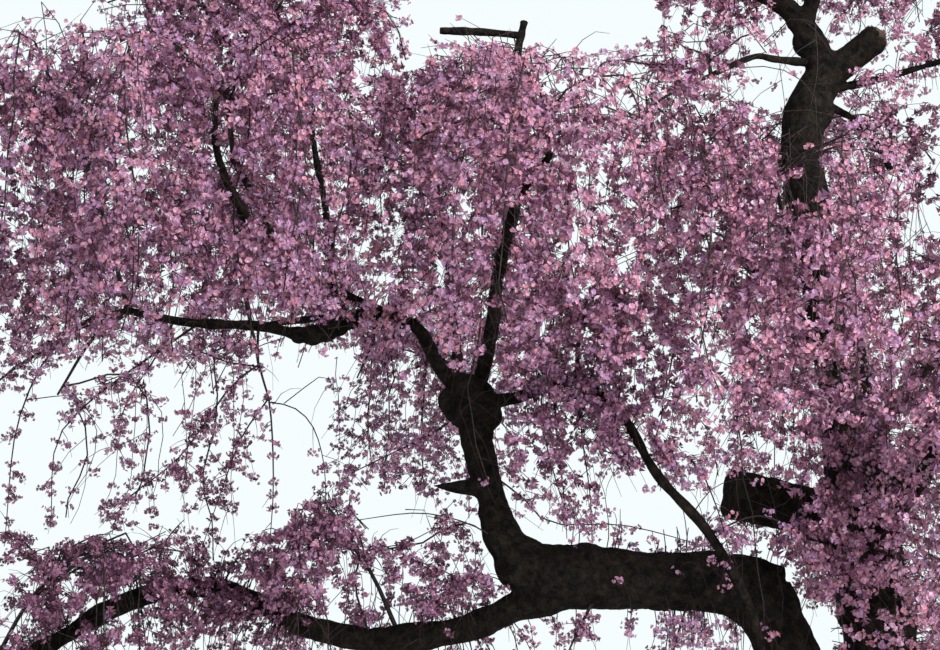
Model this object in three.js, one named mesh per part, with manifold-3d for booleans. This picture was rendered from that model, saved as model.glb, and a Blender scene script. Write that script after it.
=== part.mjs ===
// A weeping cherry tree in full blossom: a flared trunk that forks low into two stems, crooked
// and sawn old boughs, and hanging masses of blossoming twigs.
// Millimetres, +Z up. The origin is the middle of the flat cut at ground level, +X runs to the
// right of the side that the tree is seen from, and +Y runs away from that side.

import * as THREE from "three";
import { mergeVertices } from "three/addons/utils/BufferGeometryUtils.js";
import Module from "manifold-3d";

const wasm = await Module();
wasm.setup();

// Driving dimensions of the trunk
const FORK_HEIGHT = 1180;
const TRUNK_FOOT_RADIUS = 400;
const TRUNK_FORK_RADIUS = 345;
const TRUNK_FORK_DEPTH_SHARE = 0.77;
const ROOT_FLARE = 0.62;
const ROOT_FLARE_HEIGHT = 260;
const ROOT_LOBES = 5;
const ROOT_LOBE_DEPTH = 0.16;
const TRUNK_SIDES = 20;
const TRUNK_STEPS = 6;

// How the pieces meet
const CLEARANCE = 0.3;
const FEWEST_STEPS = 4;
const JOIN_TOLERANCE = 5;
const CUT_TOLERANCE = 0.1;

// The rule by which a mass of blossoming twigs grows
const GOLDEN_ANGLE = Math.PI * (3 - Math.sqrt(5));
const STEM_RADIUS = 20;
const STEM_TIP_RADIUS = 16;
const BRANCH_RADIUS = 13;
const TWIG_TIP_RADIUS = 7;
const SHOULDER_SPREAD = 0.8;
const SHOULDER_HEIGHT = 0.78;
const SHOULDER_FALL = 0.3;
const HIP_SPREAD = 0.88;
const FOOT_SPREAD = 0.84;
const SPRAYS_ALONG_BRANCH = 3;
const SPRAY_LENGTH = 680;
const SPRAY_WIDTH = 380;
const SPRAY_LOWER_SHARE = 0.58;
const SPRAY_OFFSET = 36;
const SPRAY_SIZES = [1.15, 0.95, 0.75, 0.6];
const SPACE_MARGIN = 12;
const LIMB_MARGIN = 20;
const HEIGHT_WEIGHT = 0.7;
const SPACE_ROUNDNESS = 2.6;
const WOOD_SPACING = 60;
const LAST_ROOT_SHARE = 0.985;
const LAST_SPRAY_SHARE = 0.97;

// Each limb: how many sides it has, and the points that its middle passes through, from where
// it is sunk in the limb that bears it to its tip, as [x, y, z, radius].
const LIMBS = {
  left_stem: { sides: 12, points: [
    [-60, 0, 950, 235], [-230, -10, 1480, 215], [-436, -40, 2050, 190], [-590, -80, 2360, 200]] },
  right_stem: { sides: 12, points: [
    [60, 0, 900, 270], [200, 0, 2018, 245], [166, 30, 2741, 221], [106, 60, 3424, 198],
    [50, 60, 4126, 173], [-60, 40, 4700, 150], [-135, 0, 5300, 146], [-110, 0, 5750, 154],
    [60, 0, 6080, 140]] },
  left_limb: { sides: 12, points: [
    [-480, -70, 2370, 175], [-726, -100, 2435, 197], [-1388, -150, 2455, 188],
    [-1716, -170, 2472, 202], [-2060, -185, 2490, 180]] },
  left_leader: { sides: 10, points: [
    [-2000, -180, 2480, 165], [-2200, -190, 2610, 140], [-2320, -190, 2830, 114],
    [-2375, -190, 3080, 106], [-2430, -185, 3280, 108], [-2500, -170, 3560, 106],
    [-2530, -170, 3720, 112]] },
  low_bough_inner: { sides: 10, points: [
    [-1800, -160, 2400, 118], [-2173, -100, 2297, 108], [-2500, 0, 2167, 97],
    [-3167, 150, 2065, 86]] },
  low_bough_outer: { sides: 9, points: [
    [-3080, 140, 2070, 82], [-3600, 230, 2180, 78], [-4200, 320, 2440, 72],
    [-4800, 400, 2380, 70], [-5350, 450, 2090, 64], [-5850, 460, 1800, 52]] },
  middle_bough: { sides: 6, points: [
    [-2460, -165, 3690, 60], [-2365, -180, 4068, 46], [-2295, -210, 4610, 46],
    [-2190, -210, 5000, 40], [-2180, 100, 5800, 36], [-2136, 480, 6480, 33],
    [-2089, 500, 6717, 31]] },
  crown_stub: { sides: 6, points: [
    [-2110, 488, 6600, 33], [-2424, 450, 6612, 33], [-2726, 400, 6600, 28]] },
  fork_bough: { sides: 6, points: [
    [-2520, -165, 3640, 62], [-2702, -170, 3876, 47], [-2862, -120, 4167, 44],
    [-3158, 0, 4330, 42], [-3790, 0, 4660, 35], [-4097, 0, 5037, 34],
    [-4300, 0, 5500, 27], [-4322, 0, 5900, 18]] },
  front_bough: { sides: 6, points: [
    [-2460, -160, 3640, 52], [-2200, -250, 3654, 40], [-2004, -350, 3701, 35],
    [-1800, -560, 3720, 30]] },
  hanging_bough: { sides: 6, points: [
    [-1810, -550, 3720, 28], [-1671, -700, 3600, 28], [-1514, -750, 3406, 29],
    [-1340, -800, 3068, 31], [-1015, -780, 2684, 33], [-762, -700, 2202, 30],
    [-690, -660, 1900, 24]] },
  level_bough: { sides: 6, points: [
    [-3120, 0, 4320, 38], [-3404, 60, 4225, 50], [-3600, 90, 4172, 52],
    [-3973, 160, 4250, 36], [-4500, 240, 4298, 32], [-4960, 290, 4400, 24]] },
  inner_bough: { sides: 6, points: [
    [-3450, 0, 4500, 28], [-3521, 0, 5089, 27], [-3600, 0, 5480, 24],
    [-3635, 0, 5711, 18]] },
  broken_snag: { sides: 6, points: [
    [-2380, -190, 3060, 74], [-2580, -200, 3062, 44], [-2750, -205, 3075, 10]] },
  sawn_limb: { sides: 12, points: [
    [171, 60, 2740, 178], [-153, 20, 2890, 172], [-423, -20, 2975, 168],
    [-780, -50, 3030, 168]] },
  sawn_stub: { sides: 10, points: [
    [40, 0, 6020, 112], [265, -50, 6204, 104], [388, -100, 6298, 98]] },
  top_bough_left: { sides: 10, points: [
    [60, 0, 6050, 112], [-52, 0, 6382, 100], [-190, 20, 6600, 76],
    [-480, 120, 6850, 52], [-760, 220, 7150, 34]] },
  top_bough_upright: { sides: 6, points: [
    [-70, 10, 6440, 64], [20, 20, 6750, 52], [120, 60, 7150, 38], [200, 80, 7450, 24]] },
  high_left_bough: { sides: 6, points: [
    [-20, 0, 6160, 34], [-335, -100, 6151, 26], [-459, -150, 6150, 22],
    [-816, -250, 5960, 20]] },
  high_right_bough: { sides: 6, points: [
    [40, 0, 5960, 38], [387, 100, 6059, 28], [1000, 120, 6250, 22]] },
  right_bough: { sides: 6, points: [
    [-60, 0, 5900, 34], [339, 150, 5740, 24], [592, 400, 5500, 20]] },
  rear_left_bough: { sides: 6, points: [
    [-2470, -130, 3480, 56], [-2560, 500, 3900, 44], [-2640, 1250, 4650, 28]] },
  rear_outer_bough: { sides: 6, points: [
    [-3130, 10, 4320, 34], [-3600, 600, 4420, 30], [-4200, 1250, 4520, 22]] },
  rear_middle_bough: { sides: 6, points: [
    [80, 60, 3900, 80], [-120, 750, 4500, 52], [-350, 1500, 5150, 30]] },
  rear_right_bough: { sides: 6, points: [
    [120, 40, 3250, 92], [700, 850, 3900, 58], [1300, 1500, 4450, 32]] },
  side_right_bough: { sides: 6, points: [
    [160, 30, 2950, 90], [900, 0, 3600, 62], [1800, -150, 4200, 34]] },
  front_right_bough: { sides: 6, points: [
    [160, 20, 2650, 84], [520, -700, 3300, 52], [900, -1350, 3950, 28]] },
  high_front_bough: { sides: 6, points: [
    [-30, 40, 4500, 60], [-250, -600, 4650, 42], [-520, -1100, 4560, 26]] },
  front_left_bough: { sides: 6, points: [
    [-3790, 0, 4660, 32], [-3930, -600, 4930, 29], [-4000, -1150, 5030, 24]] },
  front_middle_bough: { sides: 6, points: [
    [-2310, -205, 4500, 44], [-2200, -750, 4850, 34], [-2000, -1250, 5000, 24]] },
};

// Each mass of blossom: the bough that carries it, how far along the bough its stem leaves, the
// middle of the space that it keeps to, how far it reaches from there along x, y and z, and the
// number of its branches.
const MASSES = {
  front_left_blossom: { on: "front_left_bough", at: 1, branches: 8,
    middle: [-4050, -1600, 4700], reach: [1250, 1050, 1200] },
  far_left_blossom: { on: "level_bough", at: 1, branches: 10,
    middle: [-5400, -450, 4980], reach: [1200, 1350, 1470] },
  left_top_blossom: { on: "fork_bough", at: 1, branches: 10,
    middle: [-4000, 150, 6100], reach: [1600, 1300, 1050] },
  middle_top_blossom: { on: "middle_bough", at: 0.72, branches: 7,
    middle: [-2400, 200, 5650], reach: [1150, 1150, 750] },
  middle_front_blossom: { on: "front_middle_bough", at: 1, branches: 8,
    middle: [-2050, -1650, 4450], reach: [1150, 1000, 1250] },
  middle_low_blossom: { on: "front_bough", at: 1, branches: 7,
    middle: [-1750, -800, 3650], reach: [1050, 750, 1050] },
  right_front_blossom: { on: "high_front_bough", at: 1, branches: 8,
    middle: [-750, -1700, 4050], reach: [1050, 1000, 1150] },
  right_curtain_blossom: { on: "front_right_bough", at: 1, branches: 7,
    middle: [450, -1450, 2950], reach: [800, 850, 1450] },
  inner_curtain_blossom: { on: "right_stem", at: 0.6, branches: 7,
    middle: [-350, -950, 2950], reach: [850, 650, 1350] },
  high_left_blossom: { on: "high_left_bough", at: 1, branches: 7,
    middle: [-850, -350, 5550], reach: [950, 1050, 850] },
  top_left_blossom: { on: "top_bough_left", at: 1, branches: 7,
    middle: [-600, 350, 7000], reach: [1050, 1300, 950] },
  top_blossom: { on: "top_bough_upright", at: 1, branches: 7,
    middle: [550, 100, 7250], reach: [1100, 1350, 950] },
  high_right_blossom: { on: "high_right_bough", at: 1, branches: 7,
    middle: [1500, 50, 6200], reach: [1250, 1350, 1100] },
  right_rear_high_blossom: { on: "right_bough", at: 1, branches: 7,
    middle: [800, 850, 5400], reach: [1000, 1150, 1200] },
  right_side_blossom: { on: "side_right_bough", at: 1, branches: 8,
    middle: [2600, -250, 4500], reach: [1150, 1450, 1250] },
  right_low_blossom: { on: "side_right_bough", at: 0.75, branches: 6,
    middle: [2500, -600, 2700], reach: [1000, 1250, 1200] },
  front_right_blossom: { on: "front_right_bough", at: 0.97, branches: 7,
    middle: [1500, -2000, 3600], reach: [1100, 950, 1450] },
  rear_right_blossom: { on: "rear_right_bough", at: 1, branches: 8,
    middle: [1900, 1900, 4600], reach: [1300, 1200, 1250] },
  rear_right_low_blossom: { on: "rear_right_bough", at: 0.8, branches: 6,
    middle: [1700, 2200, 2800], reach: [1200, 1050, 1200] },
  rear_middle_blossom: { on: "rear_middle_bough", at: 1, branches: 8,
    middle: [-500, 1900, 5700], reach: [1400, 1250, 1150] },
  rear_middle_low_blossom: { on: "rear_middle_bough", at: 0.85, branches: 6,
    middle: [200, 2450, 3900], reach: [1100, 950, 1150] },
  rear_left_blossom: { on: "rear_left_bough", at: 1, branches: 7,
    middle: [-2850, 1350, 5850], reach: [1300, 1150, 950] },
  rear_left_low_blossom: { on: "rear_left_bough", at: 0.9, branches: 6,
    middle: [-2500, 2450, 4950], reach: [1300, 900, 850] },
  rear_outer_blossom: { on: "rear_outer_bough", at: 1, branches: 9,
    middle: [-4600, 1650, 5100], reach: [1350, 1400, 1000] },
  far_left_low_blossom: { on: "level_bough", at: 0.97, branches: 7,
    middle: [-5250, -250, 3250], reach: [1050, 1050, 850] },
  low_left_blossom: { on: "low_bough_outer", at: 1, branches: 9,
    middle: [-5150, -150, 2250], reach: [1350, 800, 700] },
  low_middle_blossom: { on: "low_bough_inner", at: 0.85, branches: 8,
    middle: [-3400, -100, 2480], reach: [1150, 600, 680] },
  level_curtain_blossom: { on: "level_bough", at: 0.55, branches: 5,
    middle: [-3950, 50, 3400], reach: [1000, 600, 1000] },
  behind_leader_blossom: { on: "rear_left_bough", at: 0.45, branches: 6,
    middle: [-2900, 850, 3650], reach: [900, 750, 900] },
};

const barkMaterial = new THREE.MeshStandardMaterial({ color: "#2b2722", roughness: 0.92, metalness: 0 });
const blossomMaterial = new THREE.MeshStandardMaterial({ color: "#c58fae", roughness: 0.75, metalness: 0 });

function vector([x, y, z]) {
  return new THREE.Vector3(x, y, z);
}

// Random numbers that are the same on every run
function seededRandom(seed) {
  let state = seed;
  return () => {
    state = (Math.imul(state, 1664525) + 1013904223) >>> 0;
    return state / 4294967296;
  };
}

// A closed geometry as a solid that can be joined and cut
function toSolid(geometry) {
  const bare = geometry.clone();
  bare.deleteAttribute("normal");
  bare.deleteAttribute("uv");
  const merged = mergeVertices(bare, 1e-3);
  return new wasm.Manifold(new wasm.Mesh({
    numProp: 3,
    vertProperties: merged.attributes.position.array,
    triVerts: new Uint32Array(merged.index.array),
  }));
}

function toGeometry(solid) {
  const mesh = solid.getMesh();
  return new THREE.BufferGeometry()
    .setAttribute("position", new THREE.BufferAttribute(new Float32Array(mesh.vertProperties), 3))
    .setIndex(new THREE.BufferAttribute(new Uint32Array(mesh.triVerts), 1));
}

// The largest body of a solid after a cut, without the scraps and slivers that the cut leaves
function tidyBody(solid) {
  const largest = solid.decompose().reduce((a, b) => (a.volume() > b.volume() ? a : b));
  return largest.asOriginal().simplify(CUT_TOLERANCE);
}

// The middle line of a limb or twig, with its radius at any share of its length
function lineThrough(points) {
  const curve = new THREE.CatmullRomCurve3(points.map(vector), false, "centripetal");
  const radiusAt = (share) => {
    const place = curve.getUtoTmapping(share) * (points.length - 1);
    const before = Math.min(Math.floor(place), points.length - 2);
    return THREE.MathUtils.lerp(points[before][3], points[before + 1][3], place - before);
  };
  return { curve, radiusAt };
}

// A tapering round limb: a cylinder whose rings are moved onto the line. With extra, it is that
// much thicker and longer, as a tool that cuts room for the limb.
function limbGeometry(line, sides, steps, extra = 0) {
  const geometry = new THREE.CylinderGeometry(1, 1, 1, sides, steps);
  const { tangents, normals, binormals } = line.curve.computeFrenetFrames(steps, false);
  const position = geometry.attributes.position;
  const place = new THREE.Vector3();
  for (let i = 0; i < position.count; i++) {
    const ring = Math.round((position.getY(i) + 0.5) * steps);
    const share = ring / steps;
    const radius = line.radiusAt(share) + extra;
    const end = ring === 0 ? -extra : ring === steps ? extra : 0;
    line.curve.getPointAt(share, place);
    place.addScaledVector(tangents[ring], end);
    place.addScaledVector(normals[ring], position.getX(i) * radius);
    place.addScaledVector(binormals[ring], -position.getZ(i) * radius);
    position.setXYZ(i, place.x, place.y, place.z);
  }
  return geometry;
}

// The trunk: upright, tapering to the fork, with buttress roots that swell it at the ground
function trunkGeometry(extra = 0) {
  const geometry = new THREE.CylinderGeometry(1, 1, 1, TRUNK_SIDES, TRUNK_STEPS);
  const position = geometry.attributes.position;
  for (let i = 0; i < position.count; i++) {
    const share = position.getY(i) + 0.5;
    const height = FORK_HEIGHT * share ** 1.5;
    const across = Math.hypot(position.getX(i), position.getZ(i));
    const turn = Math.atan2(-position.getZ(i), position.getX(i));
    const fade = Math.exp(-height / ROOT_FLARE_HEIGHT);
    const lobes = 1 + ROOT_LOBE_DEPTH * Math.cos(ROOT_LOBES * turn + 0.6);
    const taper = THREE.MathUtils.lerp(TRUNK_FOOT_RADIUS, TRUNK_FORK_RADIUS, share);
    const radius = across * (taper * (1 + ROOT_FLARE * fade * lobes) + extra);
    const depthShare = THREE.MathUtils.lerp(1, TRUNK_FORK_DEPTH_SHARE, share);
    const top = share === 1 ? extra : 0;
    position.setXYZ(i, Math.cos(turn) * radius, Math.sin(turn) * radius * depthShare, height + top);
  }
  return geometry;
}

// Limbs, each cut by those made before it so that it keeps clear of them
const limbs = new Map();

function addLimb(name, line, build) {
  let solid = toSolid(build(0));
  for (const other of limbs.values()) {
    solid = solid.subtract(other.room);
  }
  limbs.set(name, { line, solid: tidyBody(solid), room: toSolid(build(CLEARANCE)) });
}

const trunkLine = lineThrough([[0, 0, 0, TRUNK_FOOT_RADIUS], [0, 0, FORK_HEIGHT, TRUNK_FORK_RADIUS]]);
addLimb("trunk", trunkLine, trunkGeometry);
for (const [name, { sides, points }] of Object.entries(LIMBS)) {
  const line = lineThrough(points);
  const steps = Math.max(points.length - 1, FEWEST_STEPS);
  addLimb(name, line, (extra) => limbGeometry(line, sides, steps, extra));
}

// How near a point is to a mass: less is nearer. Heights count for less, so that the spaces of
// hanging masses are taller than they are wide.
function nearness(point, mass) {
  const [x, y, z] = mass.middle;
  const size = (mass.reach[0] + mass.reach[1] + mass.reach[2] * HEIGHT_WEIGHT) / 3;
  return (point.x - x) ** 2 + (point.y - y) ** 2 + ((point.z - z) * HEIGHT_WEIGHT) ** 2 - size ** 2;
}

// True where a point lies in the mass's own space: within its reach, and clear of every other's
function inOwnSpace(point, mass) {
  const bulge = ["x", "y", "z"].reduce((sum, axis, i) =>
    sum + Math.abs((point[axis] - mass.middle[i]) / mass.reach[i]) ** SPACE_ROUNDNESS, 0);
  if (bulge > 1) return false;
  const own = nearness(point, mass);
  return Object.values(MASSES).every((other) => {
    if (other === mass) return true;
    const apart = Math.hypot(
      other.middle[0] - mass.middle[0],
      other.middle[1] - mass.middle[1],
      (other.middle[2] - mass.middle[2]) * HEIGHT_WEIGHT,
    );
    return (nearness(point, other) - own) / (2 * apart) > SPACE_MARGIN;
  });
}

// Points along every limb, WOOD_SPACING apart or less, to keep twigs and sprays off the wood
const woodPoints = [];
for (const [name, { line }] of limbs) {
  const count = Math.ceil(line.curve.getLength() / WOOD_SPACING);
  for (let i = 0; i <= count; i++) {
    const flare = name === "trunk" ? 1 + ROOT_FLARE : 1;
    woodPoints.push({ at: line.curve.getPointAt(i / count), radius: line.radiusAt(i / count) * flare });
  }
}

// True where a stretch from one point to another, this wide, touches no limb
function clearOfWood(from, to, halfWidth) {
  const stretch = new THREE.Line3(from, to);
  const nearest = new THREE.Vector3();
  return woodPoints.every(({ at, radius }) => {
    stretch.closestPointToPoint(at, true, nearest);
    return nearest.distanceTo(at) > radius + halfWidth + LIMB_MARGIN;
  });
}

// A spray of blossom: a plump diamond that hangs beside its twig, longer below than above. The
// twig runs through two of its faces, off the corners.
function sprayGeometry(twigPoint, along, turn, size) {
  const geometry = new THREE.OctahedronGeometry(1, 0);
  const position = geometry.attributes.position;
  const halfWidth = size * SPRAY_WIDTH / 2;
  for (let i = 0; i < position.count; i++) {
    const share = position.getZ(i) > 0 ? SPRAY_LOWER_SHARE : 1 - SPRAY_LOWER_SHARE;
    position.setXYZ(
      i,
      position.getX(i) * halfWidth + SPRAY_OFFSET,
      position.getY(i) * halfWidth + SPRAY_OFFSET,
      position.getZ(i) * share * size * SPRAY_LENGTH,
    );
  }
  const upright = new THREE.Vector3(0, 0, 1);
  const facing = new THREE.Quaternion().setFromUnitVectors(upright, along)
    .multiply(new THREE.Quaternion().setFromAxisAngle(upright, turn));
  return geometry.applyMatrix4(new THREE.Matrix4().compose(twigPoint, facing, new THREE.Vector3(1, 1, 1)));
}

function cornersOf(geometry) {
  const { position } = geometry.attributes;
  const corner = (_, i) => new THREE.Vector3().fromBufferAttribute(position, i);
  return Array.from({ length: position.count }, corner);
}

// The middle line of one branch: from the stem it arches outwards, then hangs to its foot
function branchLine(mass, stem, k, seed, random) {
  const [reachX, reachY, reachZ] = mass.reach;
  const share = Math.sqrt((k + 0.6) / mass.branches);
  const turn = k * GOLDEN_ANGLE + seed;
  const out = new THREE.Vector3(reachX * Math.cos(turn), reachY * Math.sin(turn), 0);
  const start = stem.curve.getPointAt(0.55 + 0.43 * ((k * 0.618) % 1));
  const shoulder = vector(mass.middle).addScaledVector(out, share * SHOULDER_SPREAD);
  shoulder.z += reachZ * (SHOULDER_HEIGHT - SHOULDER_FALL * share * share);
  const hip = vector(mass.middle).addScaledVector(out, share * HIP_SPREAD);
  hip.z -= reachZ * (0.1 + 0.1 * random());
  const foot = vector(mass.middle).addScaledVector(out, share * FOOT_SPREAD);
  foot.z -= reachZ * (0.62 + 0.2 * random());
  return lineThrough([start, shoulder, hip, foot].map((p, i) => [
    p.x, p.y, p.z, THREE.MathUtils.lerp(BRANCH_RADIUS, TWIG_TIP_RADIUS, i / 3)]));
}

// One mass: a stem from the bough to the crest of its space, and branches that leave the stem
// and hang, with sprays of blossom along them.
function growMass(mass, seed) {
  const random = seededRandom(seed);
  const bough = limbs.get(mass.on);
  const root = bough.line.curve.getPointAt(Math.min(mass.at, LAST_ROOT_SHARE));
  const crest = vector(mass.middle);
  crest.z += mass.reach[2] * 0.5;
  const knee = root.clone().lerp(crest, 0.5);
  knee.z += mass.reach[2] * 0.15;
  const stem = lineThrough([root, knee, crest].map((p, i) => [
    p.x, p.y, p.z, THREE.MathUtils.lerp(STEM_RADIUS, STEM_TIP_RADIUS, i / 2)]));
  const twigs = [toSolid(limbGeometry(stem, 3, 3))];
  const sprays = [];

  for (let k = 0; k < mass.branches; k++) {
    const branch = branchLine(mass, stem, k, seed, random);

    // The branch runs on until it would leave the space or touch a limb.
    const kept = [];
    for (let i = 0; i <= SPRAYS_ALONG_BRANCH; i++) {
      const p = branch.curve.getPointAt(i / SPRAYS_ALONG_BRANCH);
      if (i > 0) {
        const last = vector(kept[i - 1]);
        if (!inOwnSpace(p, mass) || !clearOfWood(last, p, BRANCH_RADIUS)) break;
      }
      kept.push([p.x, p.y, p.z, branch.radiusAt(i / SPRAYS_ALONG_BRANCH)]);
    }
    if (kept.length < 2) continue;
    const keptLine = lineThrough(kept);
    twigs.push(toSolid(limbGeometry(keptLine, 3, kept.length - 1)));

    for (let i = 1; i < kept.length; i++) {
      const share = Math.min(i / (kept.length - 1), LAST_SPRAY_SHARE);
      const at = keptLine.curve.getPointAt(share);
      const along = keptLine.curve.getTangentAt(share);
      for (const size of SPRAY_SIZES) {
        const spray = sprayGeometry(at, along, random() * Math.PI, size);
        const from = at.clone().addScaledVector(along, -size * SPRAY_LENGTH / 2);
        const to = at.clone().addScaledVector(along, size * SPRAY_LENGTH / 2);
        const inside = cornersOf(spray).every((corner) => inOwnSpace(corner, mass));
        if (!inside || !clearOfWood(from, to, SPRAY_WIDTH * size * 0.6)) continue;
        const solid = toSolid(spray);
        if (sprays.every((other) => other.intersect(solid).isEmpty())) {
          sprays.push(solid);
          break;
        }
      }
    }
  }
  let joined = wasm.Manifold.union([...twigs, ...sprays]).asOriginal().simplify(JOIN_TOLERANCE);
  for (const { room } of limbs.values()) {
    joined = joined.subtract(room);
  }
  return tidyBody(joined);
}

const tree = new THREE.Group();

function addMesh(name, solid, material) {
  const mesh = new THREE.Mesh(toGeometry(solid), material);
  mesh.name = name;
  tree.add(mesh);
}

for (const [name, { solid }] of limbs) {
  addMesh(name, solid, barkMaterial);
}
Object.entries(MASSES).forEach(([name, mass], index) => {
  addMesh(name, growMass(mass, index + 1), blossomMaterial);
});

export default tree;
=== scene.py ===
import math
from collections import namedtuple

import bmesh
import bpy
import numpy as np
from mathutils import Matrix, Vector, kdtree, noise


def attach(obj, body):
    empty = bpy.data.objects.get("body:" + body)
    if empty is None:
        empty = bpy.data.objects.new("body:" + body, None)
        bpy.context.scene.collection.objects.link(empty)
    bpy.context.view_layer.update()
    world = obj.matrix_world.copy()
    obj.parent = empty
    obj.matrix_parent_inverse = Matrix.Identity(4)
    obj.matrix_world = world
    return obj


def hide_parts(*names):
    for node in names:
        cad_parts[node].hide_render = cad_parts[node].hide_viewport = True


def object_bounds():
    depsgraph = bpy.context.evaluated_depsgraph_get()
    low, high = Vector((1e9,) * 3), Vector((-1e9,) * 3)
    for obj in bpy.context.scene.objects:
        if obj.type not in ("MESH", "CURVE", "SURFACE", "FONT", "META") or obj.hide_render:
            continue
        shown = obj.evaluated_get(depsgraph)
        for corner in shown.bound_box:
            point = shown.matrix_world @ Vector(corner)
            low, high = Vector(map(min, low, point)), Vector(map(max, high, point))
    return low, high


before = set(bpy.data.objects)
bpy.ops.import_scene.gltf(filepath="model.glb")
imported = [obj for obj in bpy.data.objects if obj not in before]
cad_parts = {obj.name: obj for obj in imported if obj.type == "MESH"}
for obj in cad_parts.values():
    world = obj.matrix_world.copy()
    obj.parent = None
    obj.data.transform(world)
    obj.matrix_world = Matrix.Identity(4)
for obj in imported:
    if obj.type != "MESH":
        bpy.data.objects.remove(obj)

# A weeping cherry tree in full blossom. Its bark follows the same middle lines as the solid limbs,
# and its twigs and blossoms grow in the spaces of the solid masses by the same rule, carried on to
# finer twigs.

CAD_LOW, CAD_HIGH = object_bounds()

# Millimetres of the tables to metres of the scene
METRE = 0.001

# Driving dimensions of the trunk, in metres
FORK_HEIGHT = 1.18
TRUNK_FOOT_RADIUS = 0.4
TRUNK_FORK_RADIUS = 0.345
TRUNK_FORK_DEPTH_SHARE = 0.77
ROOT_FLARE = 0.62
ROOT_FLARE_HEIGHT = 0.26
ROOT_LOBES = 5
ROOT_LOBE_DEPTH = 0.16

# The rule of growth that the solid masses follow. Heights, rises, depths and spreads are shares of
# a mass's reach, starts are shares of its stem's length, and a run is how far a value varies.
GOLDEN_ANGLE = math.pi * (3 - math.sqrt(5))
GOLDEN_SHARE = 0.618
CREST_HEIGHT = 0.5
KNEE_RISE = 0.15
FIRST_START = 0.55
START_RUN = 0.43
INNERMOST_BRANCH = 0.6
SHOULDER_SPREAD = 0.8
SHOULDER_HEIGHT = 0.78
SHOULDER_FALL = 0.3
HIP_SPREAD = 0.88
HIP_DEPTH = 0.1
HIP_DEPTH_RUN = 0.1
FOOT_SPREAD = 0.84
FOOT_DEPTH = 0.62
FOOT_DEPTH_RUN = 0.2

# How far out along its bough a stem may leave, the gap between the masses' spaces in metres, how
# much height counts in what is near, how square the spaces are, and how far apart the places are
# that stand for a limb, in metres
LAST_ROOT_SHARE = 0.985
SPACE_MARGIN = 0.012
HEIGHT_WEIGHT = 0.7
SPACE_ROUNDNESS = 2.6
WOOD_SPACING = 0.06

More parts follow.
